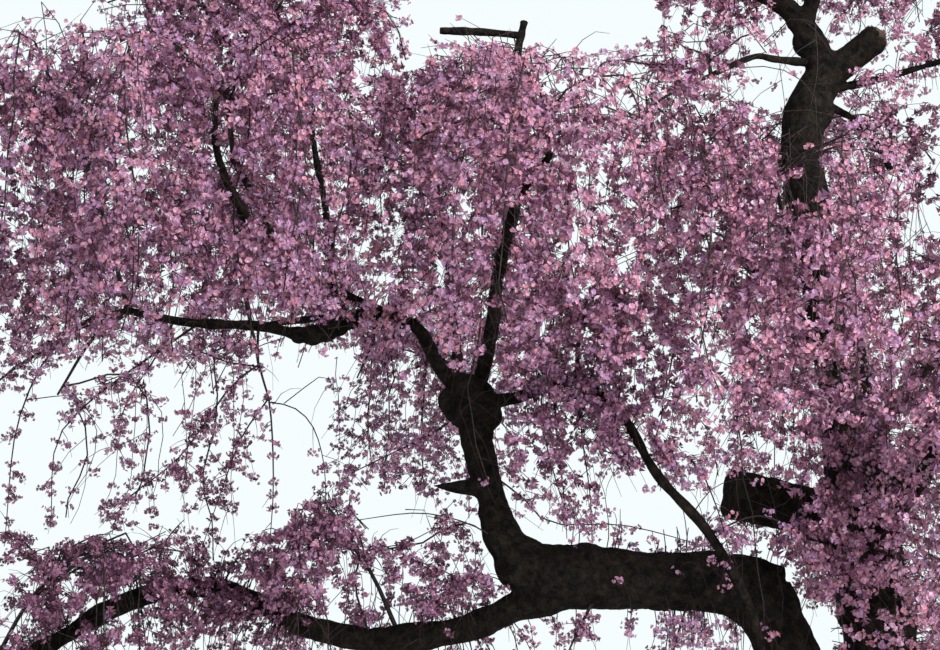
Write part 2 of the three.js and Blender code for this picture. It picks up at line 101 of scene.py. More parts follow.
# Each limb: the points that its middle passes through, from where it is sunk in the limb that
# bears it to its tip, as (x, y, z, radius) in millimetres.
LIMBS = {
    "left_stem": [
        (-60, 0, 950, 235), (-230, -10, 1480, 215), (-436, -40, 2050, 190), (-590, -80, 2360, 200)],
    "right_stem": [
        (60, 0, 900, 270), (200, 0, 2018, 245), (166, 30, 2741, 221), (106, 60, 3424, 198),
        (50, 60, 4126, 173), (-60, 40, 4700, 150), (-135, 0, 5300, 146), (-110, 0, 5750, 154),
        (60, 0, 6080, 140)],
    "left_limb": [
        (-480, -70, 2370, 175), (-726, -100, 2435, 184), (-1388, -150, 2455, 168),
        (-1716, -170, 2472, 202), (-2060, -185, 2490, 180)],
    "left_leader": [
        (-2000, -180, 2480, 165), (-2200, -190, 2610, 140), (-2320, -190, 2830, 114),
        (-2375, -190, 3080, 106), (-2430, -185, 3280, 108), (-2500, -170, 3560, 106),
        (-2530, -170, 3720, 112)],
    "low_bough_inner": [
        (-1800, -160, 2400, 118), (-2173, -100, 2297, 108), (-2500, 0, 2167, 97),
        (-3167, 150, 2065, 86)],
    "low_bough_outer": [
        (-3080, 140, 2070, 82), (-3600, 230, 2180, 78), (-4200, 320, 2440, 72),
        (-4800, 400, 2380, 70), (-5350, 450, 2090, 64), (-5850, 460, 1800, 52)],
    "middle_bough": [
        (-2460, -165, 3690, 60), (-2365, -180, 4068, 46), (-2295, -210, 4610, 46),
        (-2190, -210, 5000, 40), (-2180, 100, 5800, 36), (-2136, 480, 6480, 33),
        (-2089, 500, 6717, 31)],
    "crown_stub": [
        (-2110, 488, 6600, 33), (-2424, 450, 6612, 33), (-2726, 400, 6600, 28)],
    "fork_bough": [
        (-2520, -165, 3640, 62), (-2702, -170, 3876, 47), (-2862, -120, 4167, 44),
        (-3158, 0, 4330, 42), (-3790, 0, 4660, 35), (-4097, 0, 5037, 34), (-4300, 0, 5500, 27),
        (-4322, 0, 5900, 18)],
    "front_bough": [
        (-2460, -160, 3640, 52), (-2200, -250, 3654, 40), (-2004, -350, 3701, 35),
        (-1800, -560, 3720, 30)],
    "hanging_bough": [
        (-1810, -550, 3720, 28), (-1671, -700, 3600, 28), (-1514, -750, 3406, 29),
        (-1340, -800, 3068, 31), (-1015, -780, 2684, 33), (-762, -700, 2202, 30),
        (-690, -660, 1900, 24)],
    "level_bough": [
        (-3120, 0, 4320, 38), (-3404, 60, 4225, 50), (-3600, 90, 4172, 52), (-3973, 160, 4250, 36),
        (-4500, 240, 4298, 32), (-4960, 290, 4400, 24)],
    "inner_bough": [
        (-3450, 0, 4500, 28), (-3521, 0, 5089, 27), (-3600, 0, 5480, 24), (-3635, 0, 5711, 18)],
    "broken_snag": [
        (-2380, -190, 3060, 74), (-2580, -200, 3062, 44), (-2750, -205, 3075, 10)],
    "sawn_limb": [
        (171, 60, 2740, 178), (-153, 20, 2890, 172), (-423, -20, 2975, 168), (-780, -50, 3030, 168)],
    "sawn_stub": [
        (40, 0, 6020, 112), (265, -50, 6204, 104), (388, -100, 6298, 98)],
    "top_bough_left": [
        (60, 0, 6050, 112), (-52, 0, 6382, 100), (-190, 20, 6600, 76), (-480, 120, 6850, 52),
        (-760, 220, 7150, 34)],
    "top_bough_upright": [
        (-70, 10, 6440, 64), (20, 20, 6750, 52), (120, 60, 7150, 38), (200, 80, 7450, 24)],
    "high_left_bough": [
        (-20, 0, 6160, 34), (-335, -100, 6151, 26), (-459, -150, 6150, 22), (-816, -250, 5960, 20)],
    "high_right_bough": [
        (40, 0, 5960, 38), (387, 100, 6059, 28), (1000, 120, 6250, 22)],
    "right_bough": [
        (-60, 0, 5900, 34), (339, 150, 5740, 24), (592, 400, 5500, 20)],
    "rear_left_bough": [
        (-2470, -130, 3480, 56), (-2560, 500, 3900, 44), (-2640, 1250, 4650, 28)],
    "rear_outer_bough": [
        (-3130, 10, 4320, 34), (-3600, 600, 4420, 30), (-4200, 1250, 4520, 22)],
    "rear_middle_bough": [
        (80, 60, 3900, 80), (-120, 750, 4500, 52), (-350, 1500, 5150, 30)],
    "rear_right_bough": [
        (120, 40, 3250, 92), (700, 850, 3900, 58), (1300, 1500, 4450, 32)],
    "side_right_bough": [
        (160, 30, 2950, 90), (900, 0, 3600, 62), (1800, -150, 4200, 34)],
    "front_right_bough": [
        (160, 20, 2650, 84), (520, -700, 3300, 52), (900, -1350, 3950, 28)],
    "high_front_bough": [
        (-30, 40, 4500, 60), (-250, -600, 4650, 42), (-520, -1100, 4560, 26)],
    "front_left_bough": [
        (-3790, 0, 4660, 32), (-3930, -600, 4930, 29), (-4000, -1150, 5030, 24)],
    "front_middle_bough": [
        (-2310, -205, 4500, 44), (-2200, -750, 4850, 34), (-2000, -1250, 5000, 24)],
}

# Each mass of blossom, whose solid's name ends in _blossom: the bough that bears it, how far along
# the bough its stem leaves, the number of its branches, the middle of the space that it keeps to,
# and how far it reaches from there along x, y and z, in millimetres.
Mass = namedtuple("Mass", "bough leaves branches middle reach")
MASSES = {
    "front_left": Mass("front_left_bough", 1, 8, (-4050, -1600, 4700), (1250, 1050, 1200)),
    "far_left": Mass("level_bough", 1, 10, (-5400, -450, 4980), (1200, 1350, 1470)),
    "left_top": Mass("fork_bough", 1, 10, (-4000, 150, 6100), (1600, 1300, 1050)),
    "middle_top": Mass("middle_bough", 0.72, 7, (-2400, 200, 5650), (1150, 1150, 750)),
    "middle_front": Mass("front_middle_bough", 1, 8, (-2050, -1650, 4450), (1150, 1000, 1250)),
    "middle_low": Mass("front_bough", 1, 7, (-1750, -800, 3650), (1050, 750, 1050)),
    "right_front": Mass("high_front_bough", 1, 8, (-750, -1700, 4050), (1050, 1000, 1150)),
    "right_curtain": Mass("front_right_bough", 1, 7, (450, -1450, 2950), (800, 850, 1450)),
    "inner_curtain": Mass("right_stem", 0.6, 7, (-350, -950, 2950), (850, 650, 1350)),
    "high_left": Mass("high_left_bough", 1, 7, (-850, -350, 5550), (950, 1050, 850)),
    "top_left": Mass("top_bough_left", 1, 7, (-600, 350, 7000), (1050, 1300, 950)),
    "top": Mass("top_bough_upright", 1, 7, (550, 100, 7250), (1100, 1350, 950)),
    "high_right": Mass("high_right_bough", 1, 7, (1500, 50, 6200), (1250, 1350, 1100)),
    "right_rear_high": Mass("right_bough", 1, 7, (800, 850, 5400), (1000, 1150, 1200)),
    "right_side": Mass("side_right_bough", 1, 8, (2600, -250, 4500), (1150, 1450, 1250)),
    "right_low": Mass("side_right_bough", 0.75, 6, (2500, -600, 2700), (1000, 1250, 1200)),
    "front_right": Mass("front_right_bough", 0.97, 7, (1500, -2000, 3600), (1100, 950, 1450)),
    "rear_right": Mass("rear_right_bough", 1, 8, (1900, 1900, 4600), (1300, 1200, 1250)),
    "rear_right_low": Mass("rear_right_bough", 0.8, 6, (1700, 2200, 2800), (1200, 1050, 1200)),
    "rear_middle": Mass("rear_middle_bough", 1, 8, (-500, 1900, 5700), (1400, 1250, 1150)),
    "rear_middle_low": Mass("rear_middle_bough", 0.85, 6, (200, 2450, 3900), (1100, 950, 1150)),
    "rear_left": Mass("rear_left_bough", 1, 7, (-2850, 1350, 5850), (1300, 1150, 950)),
    "rear_left_low": Mass("rear_left_bough", 0.9, 6, (-2500, 2450, 4950), (1300, 900, 850)),
    "rear_outer": Mass("rear_outer_bough", 1, 9, (-4600, 1650, 5100), (1350, 1400, 1000)),
    "far_left_low": Mass("level_bough", 0.97, 7, (-5250, -250, 3250), (1050, 1050, 850)),
    "low_left": Mass("low_bough_outer", 1, 9, (-5150, -150, 2250), (1350, 800, 700)),
    "low_middle": Mass("low_bough_inner", 0.85, 8, (-3400, -100, 2480), (1150, 600, 680)),
    "level_curtain": Mass("level_bough", 0.55, 5, (-3950, 50, 3400), (1000, 600, 1000)),
    "behind_leader": Mass("rear_left_bough", 0.45, 6, (-2900, 850, 3650), (900, 750, 900)),
}

# The pieces of the foliage: each holds the masses of one side of the crown
REGIONS = {
    "far_left": ("far_left", "rear_outer"),
    "left": ("front_left", "left_top"),
    "low_left": ("far_left_low", "low_left", "low_middle", "level_curtain"),
    "middle": ("middle_top", "middle_front", "middle_low", "behind_leader"),
    "front": ("right_front", "inner_curtain", "right_curtain"),
    "right": ("front_right", "right_low", "right_side"),
    "top": ("high_left", "top_left", "top", "high_right", "right_rear_high"),
    "rear_left": ("rear_left", "rear_left_low", "rear_middle"),
    "rear_right": ("rear_right", "rear_right_low", "rear_middle_low"),
}

# Where the sky shows through from the front: the middle and half the width and height of each
# gap, in pixels of a picture 940 by 650, and the share of the blossom that stays in it
SKY_GAPS = (
    ((530, -10), (58, 46), 0.7), ((600, 8), (60, 34), 0.05), ((552, 66), (24, 24), 0.6),
    ((685, 30), (22, 34), 0.6), ((650, 115), (50, 34), 0.65), ((765, 68), (46, 34), 0.45),
    ((10, -2), (56, 44), 0.6), ((290, 375), (48, 34), 0.25), ((190, 385), (50, 26), 0.55),
    ((345, 368), (16, 16), 0.4), ((395, 515), (42, 26), 0.1), ((305, 425), (16, 34), 0.45),
    ((545, 535), (28, 14), 0.35), ((640, 500), (24, 30), 0.4), ((668, 528), (30, 24), 0.12),
    ((822, 628), (22, 24), 0.3), ((780, 460), (20, 12), 0.5), ((345, 582), (26, 26), 0.4),
    ((400, 622), (20, 20), 0.5), ((165, 562), (24, 16), 0.6),
    ((400, 365), (22, 18), 0.7), ((300, 330), (24, 16), 0.7), ((165, 290), (30, 30), 0.7),
    ((258, 318), (26, 20), 0.7), ((585, 475), (44, 22), 0.6), ((212, 525), (20, 22), 0.5),
)

# How full of twigs a mass is, where it isn't 1
FULLNESS = {
    "far_left_low": 0.42, "level_curtain": 0.5, "behind_leader": 0.95, "low_left": 1.3,
    "low_middle": 1.6, "middle_low": 1.5, "inner_curtain": 1.4, "rear_left": 1.5,
    "rear_left_low": 1.4, "middle_top": 1.3, "right_side": 1.5, "high_right": 2, "top": 1.2,
    "left_top": 1.2,
}

# Twigs that hang straight from the limbs, by the piece that holds them: the limb, the stretch of
# it as shares of its length, how far apart its twigs are and how long the longest is, in metres
BOUGH_TWIGS = {
    "far_left": (("rear_outer_bough", 0.1, 1, 0.04, 0.8),),
    "left": (("front_left_bough", 0.05, 1, 0.02, 0.4), ("fork_bough", 0.2, 0.42, 0.004, 0.28),
        ("fork_bough", 0.4, 0.7, 0.005, 0.4),
        ("inner_bough", 0, 0.5, 0.008, 0.24), ("fork_bough", 0.7, 1, 0.08, 0.5)),
    "low_left": (("left_limb", 0.05, 0.95, 0.02, 0.9), ("left_limb", 0.05, 0.55, 0.01, 0.55),
        ("low_bough_inner", 0.1, 1, 0.03, 0.7), ("low_bough_inner", 0.5, 1, 0.01, 0.5),
        ("low_bough_outer", 0, 1, 0.025, 0.7), ("low_bough_outer", 0.2, 0.55, 0.004, 0.22),
        ("low_bough_outer", 0.74, 1, 0.008, 0.7), ("low_bough_outer", 0.2, 0.55, 0.006, 0.55),
        ("level_bough", 0, 0.14, 0.004, 0.3),
        ("level_bough", 0.8, 1, 0.02, 0.4), ("level_bough", 0.2, 1, 0.1, 0.9),
        ("left_stem", 0.4, 1, 0.03, 0.8), ("rear_left_bough", 0.05, 1, 0.04, 0.6)),
    "middle": (("front_bough", 0.4, 1, 0.008, 0.26), ("front_middle_bough", 0.05, 1, 0.015, 0.4),
        ("middle_bough", 0.42, 0.93, 0.012, 0.3)),
    "front": (("right_stem", 0.14, 0.42, 0.005, 0.5), ("hanging_bough", 0, 0.3, 0.006, 0.3),
        ("hanging_bough", 0.3, 0.95, 0.06, 0.5), ("sawn_limb", 0, 0.95, 0.02, 0.7),
        ("high_front_bough", 0.2, 1, 0.04, 0.6)),
    "right": (("side_right_bough", 0.15, 1, 0.03, 0.8), ("front_right_bough", 0.2, 1, 0.04, 0.8),
        ("right_stem", 0.3, 0.5, 0.02, 0.6)),
    "top": (("top_bough_left", 0.4, 1, 0.05, 0.6), ("top_bough_upright", 0.2, 1, 0.05, 0.6),
        ("high_left_bough", 0.6, 1, 0.03, 0.4), ("high_right_bough", 0.1, 1, 0.01, 0.35),
        ("right_bough", 0.2, 1, 0.03, 0.5), ("right_stem", 0.5, 0.8, 0.015, 0.5)),
    "rear_left": (("rear_middle_bough", 0.15, 1, 0.05, 0.8),),
    "rear_right": (("rear_right_bough", 0.15, 1, 0.05, 0.8),),
}

# The longest of the twigs, by the piece that holds them: how many rounds of side twigs leave
# each, and its points and radii in millimetres, from the bough or the twig that bears it
LONG_TWIGS = {
    "low_left": (
        (2, ((-3985, 160, 4230, 11), (-3960, 60, 3950, 10), (-3880, 40, 3710, 8), (-3830, 40, 3120, 5),
            (-3840, 40, 2750, 3))),
        (6, ((-3960, 60, 3950, 8), (-4130, 50, 3810, 8), (-4480, 50, 3300, 6), (-4850, 30, 2970, 4),
            (-4900, 30, 2780, 3))),
        (3, ((-3880, 40, 3710, 7), (-4055, 60, 3450, 6), (-4185, 60, 3070, 4), (-4330, 60, 2580, 3))),
        (2, ((-4430, 240, 4280, 10), (-4925, 150, 3880, 9), (-5134, 60, 3670, 7),
            (-5310, 50, 3430, 5), (-5316, 40, 2820, 3))),
        (4, ((-4600, 240, 4290, 9), (-4660, 150, 4080, 7), (-4860, 100, 3700, 5),
            (-4940, 80, 3390, 3))),
        (1, ((-3870, 40, 3680, 6), (-3720, 40, 3650, 6), (-3590, 40, 3540, 5), (-3500, 40, 3300, 4),
            (-3463, 30, 2880, 3))),
        (8, ((-3167, 100, 2120, 9), (-3260, -60, 2480, 8), (-3150, -150, 2700, 7),
            (-2900, -200, 2600, 6), (-2600, -220, 2480, 4), (-2340, -230, 2350, 3))),
        (1, ((-4960, 290, 4380, 9), (-5350, 150, 4150, 8), (-5580, 60, 3600, 6),
            (-5620, 40, 2700, 3))),
        (8, ((-5300, 440, 2150, 9), (-5480, 200, 2700, 8), (-5700, 50, 2800, 5), (-5850, 0, 2500, 3))),
        (6, ((-4200, 320, 2450, 9), (-4030, 100, 2660, 7), (-3870, -50, 2600, 5),
            (-3760, -100, 2300, 3))),
        (5, ((-4950, 290, 4398, 22), (-5180, 260, 4330, 19), (-5420, 200, 4130, 15),
            (-5700, 150, 3920, 10), (-5900, 100, 3700, 5))),
        (0, ((-3130, -20, 4330, 17), (-3170, -60, 4080, 13), (-3270, -60, 3830, 6))),
        (5, ((-2560, -170, 3560, 9), (-2760, -200, 3420, 8), (-3000, -200, 3300, 6),
            (-3300, -200, 3150, 4))),
        (1, ((-2200, -190, 2640, 8), (-2480, -300, 2800, 6), (-2800, -300, 2880, 5),
            (-3300, -200, 2840, 3))),
        (1, ((-2360, -200, 3150, 8), (-2150, -260, 2980, 7), (-2000, -260, 2830, 6),
            (-1500, -300, 2800, 5), (-900, -330, 2640, 3))),
        (6, ((-4560, 390, 2440, 8), (-4610, 200, 2640, 7), (-4500, 60, 2800, 5),
            (-4420, 40, 2880, 3))),
        (12, ((-2750, 60, 2080, 9), (-2720, -120, 2330, 7), (-2450, -200, 2490, 5),
            (-2180, -230, 2400, 3))),
        (10, ((-1700, -250, 2330, 14), (-1800, -330, 2150, 10), (-1890, -350, 1950, 6),
            (-1930, -350, 1700, 3))),
        (4, ((-1100, -260, 2300, 10), (-1180, -360, 2100, 7), (-1250, -380, 1850, 4),
            (-1270, -380, 1600, 3))),
    ),
    "front": (
        (14, ((-1400, -800, 3180, 8), (-1130, -830, 3150, 7), (-980, -850, 2850, 5),
            (-900, -850, 2500, 3))),
        (10, ((-1015, -780, 2690, 8), (-700, -800, 2800, 7), (-450, -820, 2650, 5),
            (-380, -820, 2400, 3))),
        (9, ((-1350, -760, 3560, 7), (-1150, -770, 3500, 6), (-1000, -780, 3330, 4),
            (-950, -780, 3050, 3))),
        (4, ((-1800, -560, 3700, 8), (-1780, -600, 3300, 6), (-1740, -620, 2950, 4),
            (-1730, -620, 2650, 3))),
        (3, ((-1950, -420, 3690, 8), (-1940, -560, 3300, 6), (-1900, -600, 2900, 4),
            (-1890, -600, 2680, 3))),
    ),
    "top": (
        (5, ((-816, -250, 5960, 19), (-1000, -300, 5860, 14), (-1250, -350, 5680, 9),
            (-1400, -350, 5450, 4))),
    ),
}

# The stretches of limb that show bare from the front, as shares of the limb's length
BARE_STRETCHES = (
    ("left_stem", 0.3, 1), ("left_limb", 0, 1), ("left_leader", 0, 1), ("broken_snag", 0, 1),
    ("low_bough_inner", 0, 1), ("low_bough_outer", 0, 0.2), ("low_bough_outer", 0.58, 0.84),
    ("sawn_limb", 0.7, 1), ("right_stem", 0.82, 1), ("sawn_stub", 0, 1),
    ("top_bough_left", 0, 0.5), ("middle_bough", 0, 0.42), ("middle_bough", 0.94, 1),
    ("crown_stub", 0, 1), ("fork_bough", 0, 0.2), ("fork_bough", 0.7, 0.97),
    ("front_bough", 0, 0.4), ("hanging_bough", 0.24, 1), ("level_bough", 0.15, 0.8),
    ("inner_bough", 0.5, 0.95), ("high_left_bough", 0, 0.6),
)

# How the branches of a mass grow on: how many finer ones there are for each of the solids', how
# far they stray as a share of the mass's reach, and where along its own branch each may start
FINER_BRANCHES = 4
FINE_STRAY = 0.07
FINE_START = 0.08
FINE_START_RUN = 0.3

# The points of a stem and of a branch, how far the first branch and the first finer one are turned
# in radians beyond the mass's number, and the seed of the draws for its twigs and blossoms
STEM_POINTS = 8
BRANCH_POINTS = 12
MAIN_TURN = 1
FINE_TURN = 1.7
MASS_SEED = 1000

# Radii of the stems, the branches and the twigs, in metres, and a direction that few twigs run in,
# from which their sides are turned
ODD_DIRECTION = (0.31, 0.95, 0.02)
STEM_RADIUS = 0.02
STEM_TIP_RADIUS = 0.009
BRANCH_RADIUS = 0.008
FINE_BRANCH_RADIUS = 0.0045
TWIG_RADIUS = 0.003
TWIG_TIP_RADIUS = 0.0012

# The bends of the branches, wide and tight: how far each moves a place, in metres, and how many
# there are in about a metre. Blender's vector noise changes from run to run without a seed.
BENDS = ((0.16, 1.1), (0.055, 3.4))
BEND_SEED = 1
noise.seed_set(BEND_SEED)

# Side twigs: how far apart and how long they are in metres, how much they lean along their branch,
# rise, droop and waver, and the share of the twigs without blossom that is kept
TWIG_SPACING = 0.15
TWIG_POINTS = 4
TWIG_LENGTHS = (0.2, 0.62)
SHORT_TWIG_LENGTHS = (0.07, 0.24)
TWIG_LEAN = 0.5
TWIG_RISE = 0.2
TWIG_DROOP = 0.32
TWIG_WAVER = 0.12
BARE_TWIG_SHARE = 0.12

# The twigs that leave the limbs: how deep in the limb they start as a share of its radius, and the
# shortest as a share of the longest
BOUGH_TWIG_POINTS = 8
BOUGH_TWIG_START = 0.9
SHORTEST_BOUGH_TWIG = 0.3
BOUGH_TWIG_RISE = 0.3
BOUGH_TWIG_DROOP = 0.28
BOUGH_TWIG_WAVER = 0.06

# The clusters of blossom by how they hang: how far apart along a twig, how many flowers each, how
# long the stalks and how large the flowers are in metres, and the share whose stalk shows
CLOSE_CLUSTERS = dict(spacing=0.15, flowers=7, stalks=(0.008, 0.046), radii=(0.011, 0.017), stalked=0.3)
OPEN_CLUSTERS = dict(spacing=0.16, flowers=10, stalks=(0.014, 0.05), radii=(0.011, 0.016), stalked=1)
REAR_CLUSTERS = dict(spacing=0.23, flowers=7, stalks=(0.01, 0.055), radii=(0.0155, 0.0245), stalked=0.2)
CLUSTERS = {"low_left": OPEN_CLUSTERS, "rear_left": REAR_CLUSTERS, "rear_right": REAR_CLUSTERS}

# The clumps that clusters gather in: their size in metres, how ragged they are, and the level
# of noise above which clusters stay, for most pieces, for some and for the longest twigs
CLUMP_SIZE = 0.3
CLUMP_RAGGEDNESS = 0.12
CLUMP_LEVEL = -0.32
CLUMP_LEVELS = {"low_left": -0.12, "front": -0.2, "top": -0.2}
NO_CLUMPS = -2

# A flower: half a petal's width, how far petals reach and lift and how deep the heart lies, all as
# shares of its radius, then how far it tilts, how its stalk spreads and dips, in radians, and how
# thick the stalk is, in metres
PETALS = 5
PETAL_WIDTH = 0.58
PETAL_REACHES = (0.75, 1.05)
PETAL_LIFTS = (-0.1, 0.8)
HEART_DEPTH = 0.3
FLOWER_TILT = 0.35
STALK_SPREAD = 0.3
STALK_DIPS = (-1.1, 0.35)
STALK_WIDTH = 0.0028

# The flowers inside a mass, in its two deepest pinks as painted shade, within a share of its
# reach: how many for each cluster, how long the stalks and how large the flowers are in metres,
# and the share that is less deep
INNER_REACH = 0.66
INNER_FLOWERS = 3
INNER_PETALS = 3
INNER_STALKS = (0.008, 0.05)
INNER_RADII = (0.018, 0.031)
DEEP_SHARE = 0.55

# How the pinks are dealt out: patches of one pink, warmth towards the right, which is partly the
# pinks' own warmth and partly painted light from the right, painted shade that starts below a
# height and grows to the left, in metres, the weight of each, and the steps between pinks
PATCH_PACE = 1.3
PATCH_WEIGHT = 0.5
WARM_AND_LIT_MIDDLE = -2.5
WARM_AND_LIT_REACH = 5
WARM_AND_LIT_WEIGHT = 0.35
PAINTED_SHADE_TOP = 4.2
PAINTED_SHADE_HEIGHT = 1.2
PAINTED_SHADE_WIDTH = 2
PAINTED_SHADE_WEIGHT = 0.75
TONE_SCATTER = 0.17
TONE_STEPS = (-0.6, -0.25, 0.1, 0.45, 0.85)

# The share of flowers that have a pink of their own, and of petals one step off their flower
STRAY_SHARE = 0.2
PETAL_CHANGE = 0.35

# How far twigs and clusters keep clear of wood and how far beside a bare limb none stands before
# it, in metres, the places that stand for a bare stretch, and the share that hides it all the same
TWIG_MARGIN = 0.015
CLUSTER_MARGIN = 0.02
BARE_MARGIN = 0.035
BARE_PLACES = 40
STRAY_BEFORE_WOOD = 0.08

# How far foliage may pass the outline of the solids, as a share of the tree's size and in metres,
# and how far within that limit twigs and the middles of clusters stay
OUTLINE_SHARE = 0.03
OUTLINE_MARGIN = 0.01
TWIG_INSET = 0.006
CLUSTER_REACH = 0.07

# The side that the tree is seen from: the camera's place in metres, its tilt and its lens in mm
CAMERA_PLACE = np.array((-2.5, -10.5, 1.6))
CAMERA_PITCH = math.radians(14)
CAMERA_LENS = 60
PICTURE_SIZE = (940, 650)
SENSOR_WIDTH = 36


def place_camera():
    data = bpy.data.cameras.new("front_camera")
    data.lens = CAMERA_LENS
    data.sensor_width = SENSOR_WIDTH
    data.sensor_fit = "HORIZONTAL"
    camera = bpy.data.objects.new("front_camera", data)
    camera.location = CAMERA_PLACE
    camera.rotation_euler = (math.pi / 2 + CAMERA_PITCH, 0, 0)
    bpy.context.scene.collection.objects.link(camera)
    bpy.context.scene.camera = camera


place_camera()


# Materials

# The sockets of a colour mix
MIX_FACTOR, MIX_A, MIX_B, MIX_RESULT = 0, 6, 7, 2

# Sizes in the patterns and how far the plates of bark wander, in metres, and how many of its dry
# patches there are to a metre
PLATE_SIZE = 0.06
PLATE_WANDER = 0.14
GRAIN_SIZE = 0.02
STAIN_SIZE = 0.06
PORE_SPACING = 0.012
PATCH_SCALE = 14.0


def linear(hex_colour):
    """The linear colour of an sRGB hex value"""
    channels = [int(hex_colour[i:i + 2], 16) / 255 for i in (1, 3, 5)]
    return [c / 12.92 if c <= 0.04045 else ((c + 0.055) / 1.055) ** 2.4 for c in channels] + [1]


def add_node(tree, kind, inputs=(), **settings):
    """Adds a node with its settings. An input is a value, or a socket that it is linked to."""
    node = tree.nodes.new(kind)
    for name, value in settings.items():
        setattr(node, name, value)
    for name, value in dict(inputs).items():
        if isinstance(value, bpy.types.NodeSocket):
            tree.links.new(value, node.inputs[name])
        else:
            node.inputs[name].default_value = value
    return node


def new_material(name):
    """An empty material, and the tree that its nodes go into"""
    material = bpy.data.materials.new(name)
    material.use_nodes = True
    material.node_tree.nodes.clear()
    return material, material.node_tree


def finish_material(material, inputs):
    shader = add_node(material.node_tree, "ShaderNodeBsdfPrincipled", inputs)
    add_node(material.node_tree, "ShaderNodeOutputMaterial", {"Surface": shader.outputs[0]})
    return material


def two_tones(tree, noise_inputs, dark, pale):
    """A blend of two tones over noise, each tone with the level of noise that it is reached at.
    Returns the noise and the colour."""
    spots = add_node(tree, "ShaderNodeTexNoise", noise_inputs)
    tint = add_node(tree, "ShaderNodeValToRGB", {"Fac": spots.outputs["Fac"]})
    for stop, (level, colour) in zip(tint.color_ramp.elements, (dark, pale)):
        stop.position = level
        stop.color = linear(colour)
    return spots.outputs["Fac"], tint.outputs["Color"]


def bark_material():
    """Old cherry bark, weathered: dark grey-brown, in plates about 60 mm across that crack apart
    finely, with paler dry patches. It is rough, with no gloss."""
    material, tree = new_material("weathered_cherry_bark")
    place = add_node(tree, "ShaderNodeTexCoord").outputs["Object"]
    _, patches = two_tones(tree, {"Vector": place, "Scale": PATCH_SCALE, "Detail": 8.0,
        "Roughness": 0.75}, (0.4, "#080706"), (0.66, "#322b24"))
    stray = add_node(tree, "ShaderNodeTexNoise",
        {"Vector": place, "Scale": 1 / PLATE_SIZE, "Detail": 5.0})
    bent_place = add_node(tree, "ShaderNodeVectorMath",
        {0: stray.outputs["Color"], 1: (PLATE_WANDER,) * 3, 2: place}, operation="MULTIPLY_ADD")
    plates = add_node(tree, "ShaderNodeTexVoronoi",
        {"Vector": bent_place.outputs[0], "Scale": 1 / PLATE_SIZE}, feature="DISTANCE_TO_EDGE")
    cracks = add_node(tree, "ShaderNodeMapRange",
        {"Value": plates.outputs["Distance"], "From Min": 0.0, "From Max": 0.1, "To Min": 0.55})
    colour = add_node(tree, "ShaderNodeMix", {MIX_FACTOR: cracks.outputs["Result"],
        MIX_A: linear("#0c0b0a"), MIX_B: patches}, data_type="RGBA")
    grain = add_node(tree, "ShaderNodeTexNoise",
        {"Vector": place, "Scale": 1 / GRAIN_SIZE, "Detail": 4.0, "Roughness": 0.6})
    relief = add_node(tree, "ShaderNodeMath",
        {0: cracks.outputs["Result"], 1: grain.outputs["Fac"]}, operation="ADD")
    bump = add_node(tree, "ShaderNodeBump",
        {"Height": relief.outputs[0], "Strength": 0.8, "Distance": 0.012})
    return finish_material(material, {"Base Color": colour.outputs[MIX_RESULT],
        "Roughness": 0.9, "Normal": bump.outputs["Normal"], "Specular IOR Level": 0.15})


def sawn_wood_material():
    """Cherry end grain, sawn long ago: grey-brown in stains about 60 mm across, with its year
    rings weathered away, dull and dry"""
    material, tree = new_material("weathered_sawn_cherry")
    place = add_node(tree, "ShaderNodeTexCoord").outputs["Object"]
    stain, colour = two_tones(tree, {"Vector": place, "Scale": 1 / STAIN_SIZE, "Detail": 5.0,
        "Roughness": 0.7}, (0.35, "#2b241f"), (0.7, "#6d5a47"))
    bump = add_node(tree, "ShaderNodeBump", {"Height": stain, "Strength": 0.5, "Distance": 0.004})
    return finish_material(material, {"Base Color": colour, "Roughness": 0.85,
        "Normal": bump.outputs["Normal"], "Specular IOR Level": 0.3})


def twig_material():
    """Young cherry bark: thin, dark red-brown and faintly glossy, with spots of darker pores
    about 12 mm apart"""
    material, tree = new_material("young_cherry_bark")
    place = add_node(tree, "ShaderNodeTexCoord").outputs["Object"]
    _, colour = two_tones(tree, {"Vector": place, "Scale": 1 / PORE_SPACING, "Detail": 2.0},
        (0.4, "#1d1617"), (0.65, "#40302e"))
    return finish_material(material,
        {"Base Color": colour, "Roughness": 0.6, "Specular IOR Level": 0.4})


def petal_material(name, colour):
    """A double cherry petal: thin, matt and soft like velvet, of one even colour. A flower's
    stalk is as soft and matt."""
    material, _ = new_material(name)
    return finish_material(material, {"Base Color": linear(colour), "Roughness": 0.62,
        "Specular IOR Level": 0.25, "Sheen Weight": 0.15, "Sheen Roughness": 0.5})


# The pinks of the petals, from palest to deepest. The deep and dusky pinks also stand for
# painted shade, inside the masses and low on the left.
PETAL_COLOURS = {
    "pale_pink_petal": "#dab9ce",
    "rose_pink_petal": "#d5a6c6",
    "warm_pink_petal": "#dc98aa",
    "mauve_pink_petal": "#bf94be",
    "deep_pink_petal": "#b57f9c",
    # Mostly painted shade, and a stray pink besides
    "dusky_pink_petal_and_painted_shade": "#744460",
}
BARK = bark_material()
SAWN_WOOD = sawn_wood_material()
TWIG_BARK = twig_material()
BLOSSOM = [petal_material(name, colour) for name, colour in PETAL_COLOURS.items()]

# The dull red of the stalks comes after the pinks
STALK_TONE = len(BLOSSOM)
BLOSSOM.append(petal_material("flower_stalk", "#4a2a35"))


# Lines: rows of (x, y, z, radius)

# How finely a curve is cut to measure it, how far to each side its heading is taken as a share of
# its length, and the least length that a heading is divided by
CURVE_CUTS = 201
HEADING_SHARE = 0.02
LEAST_LENGTH = 1e-9


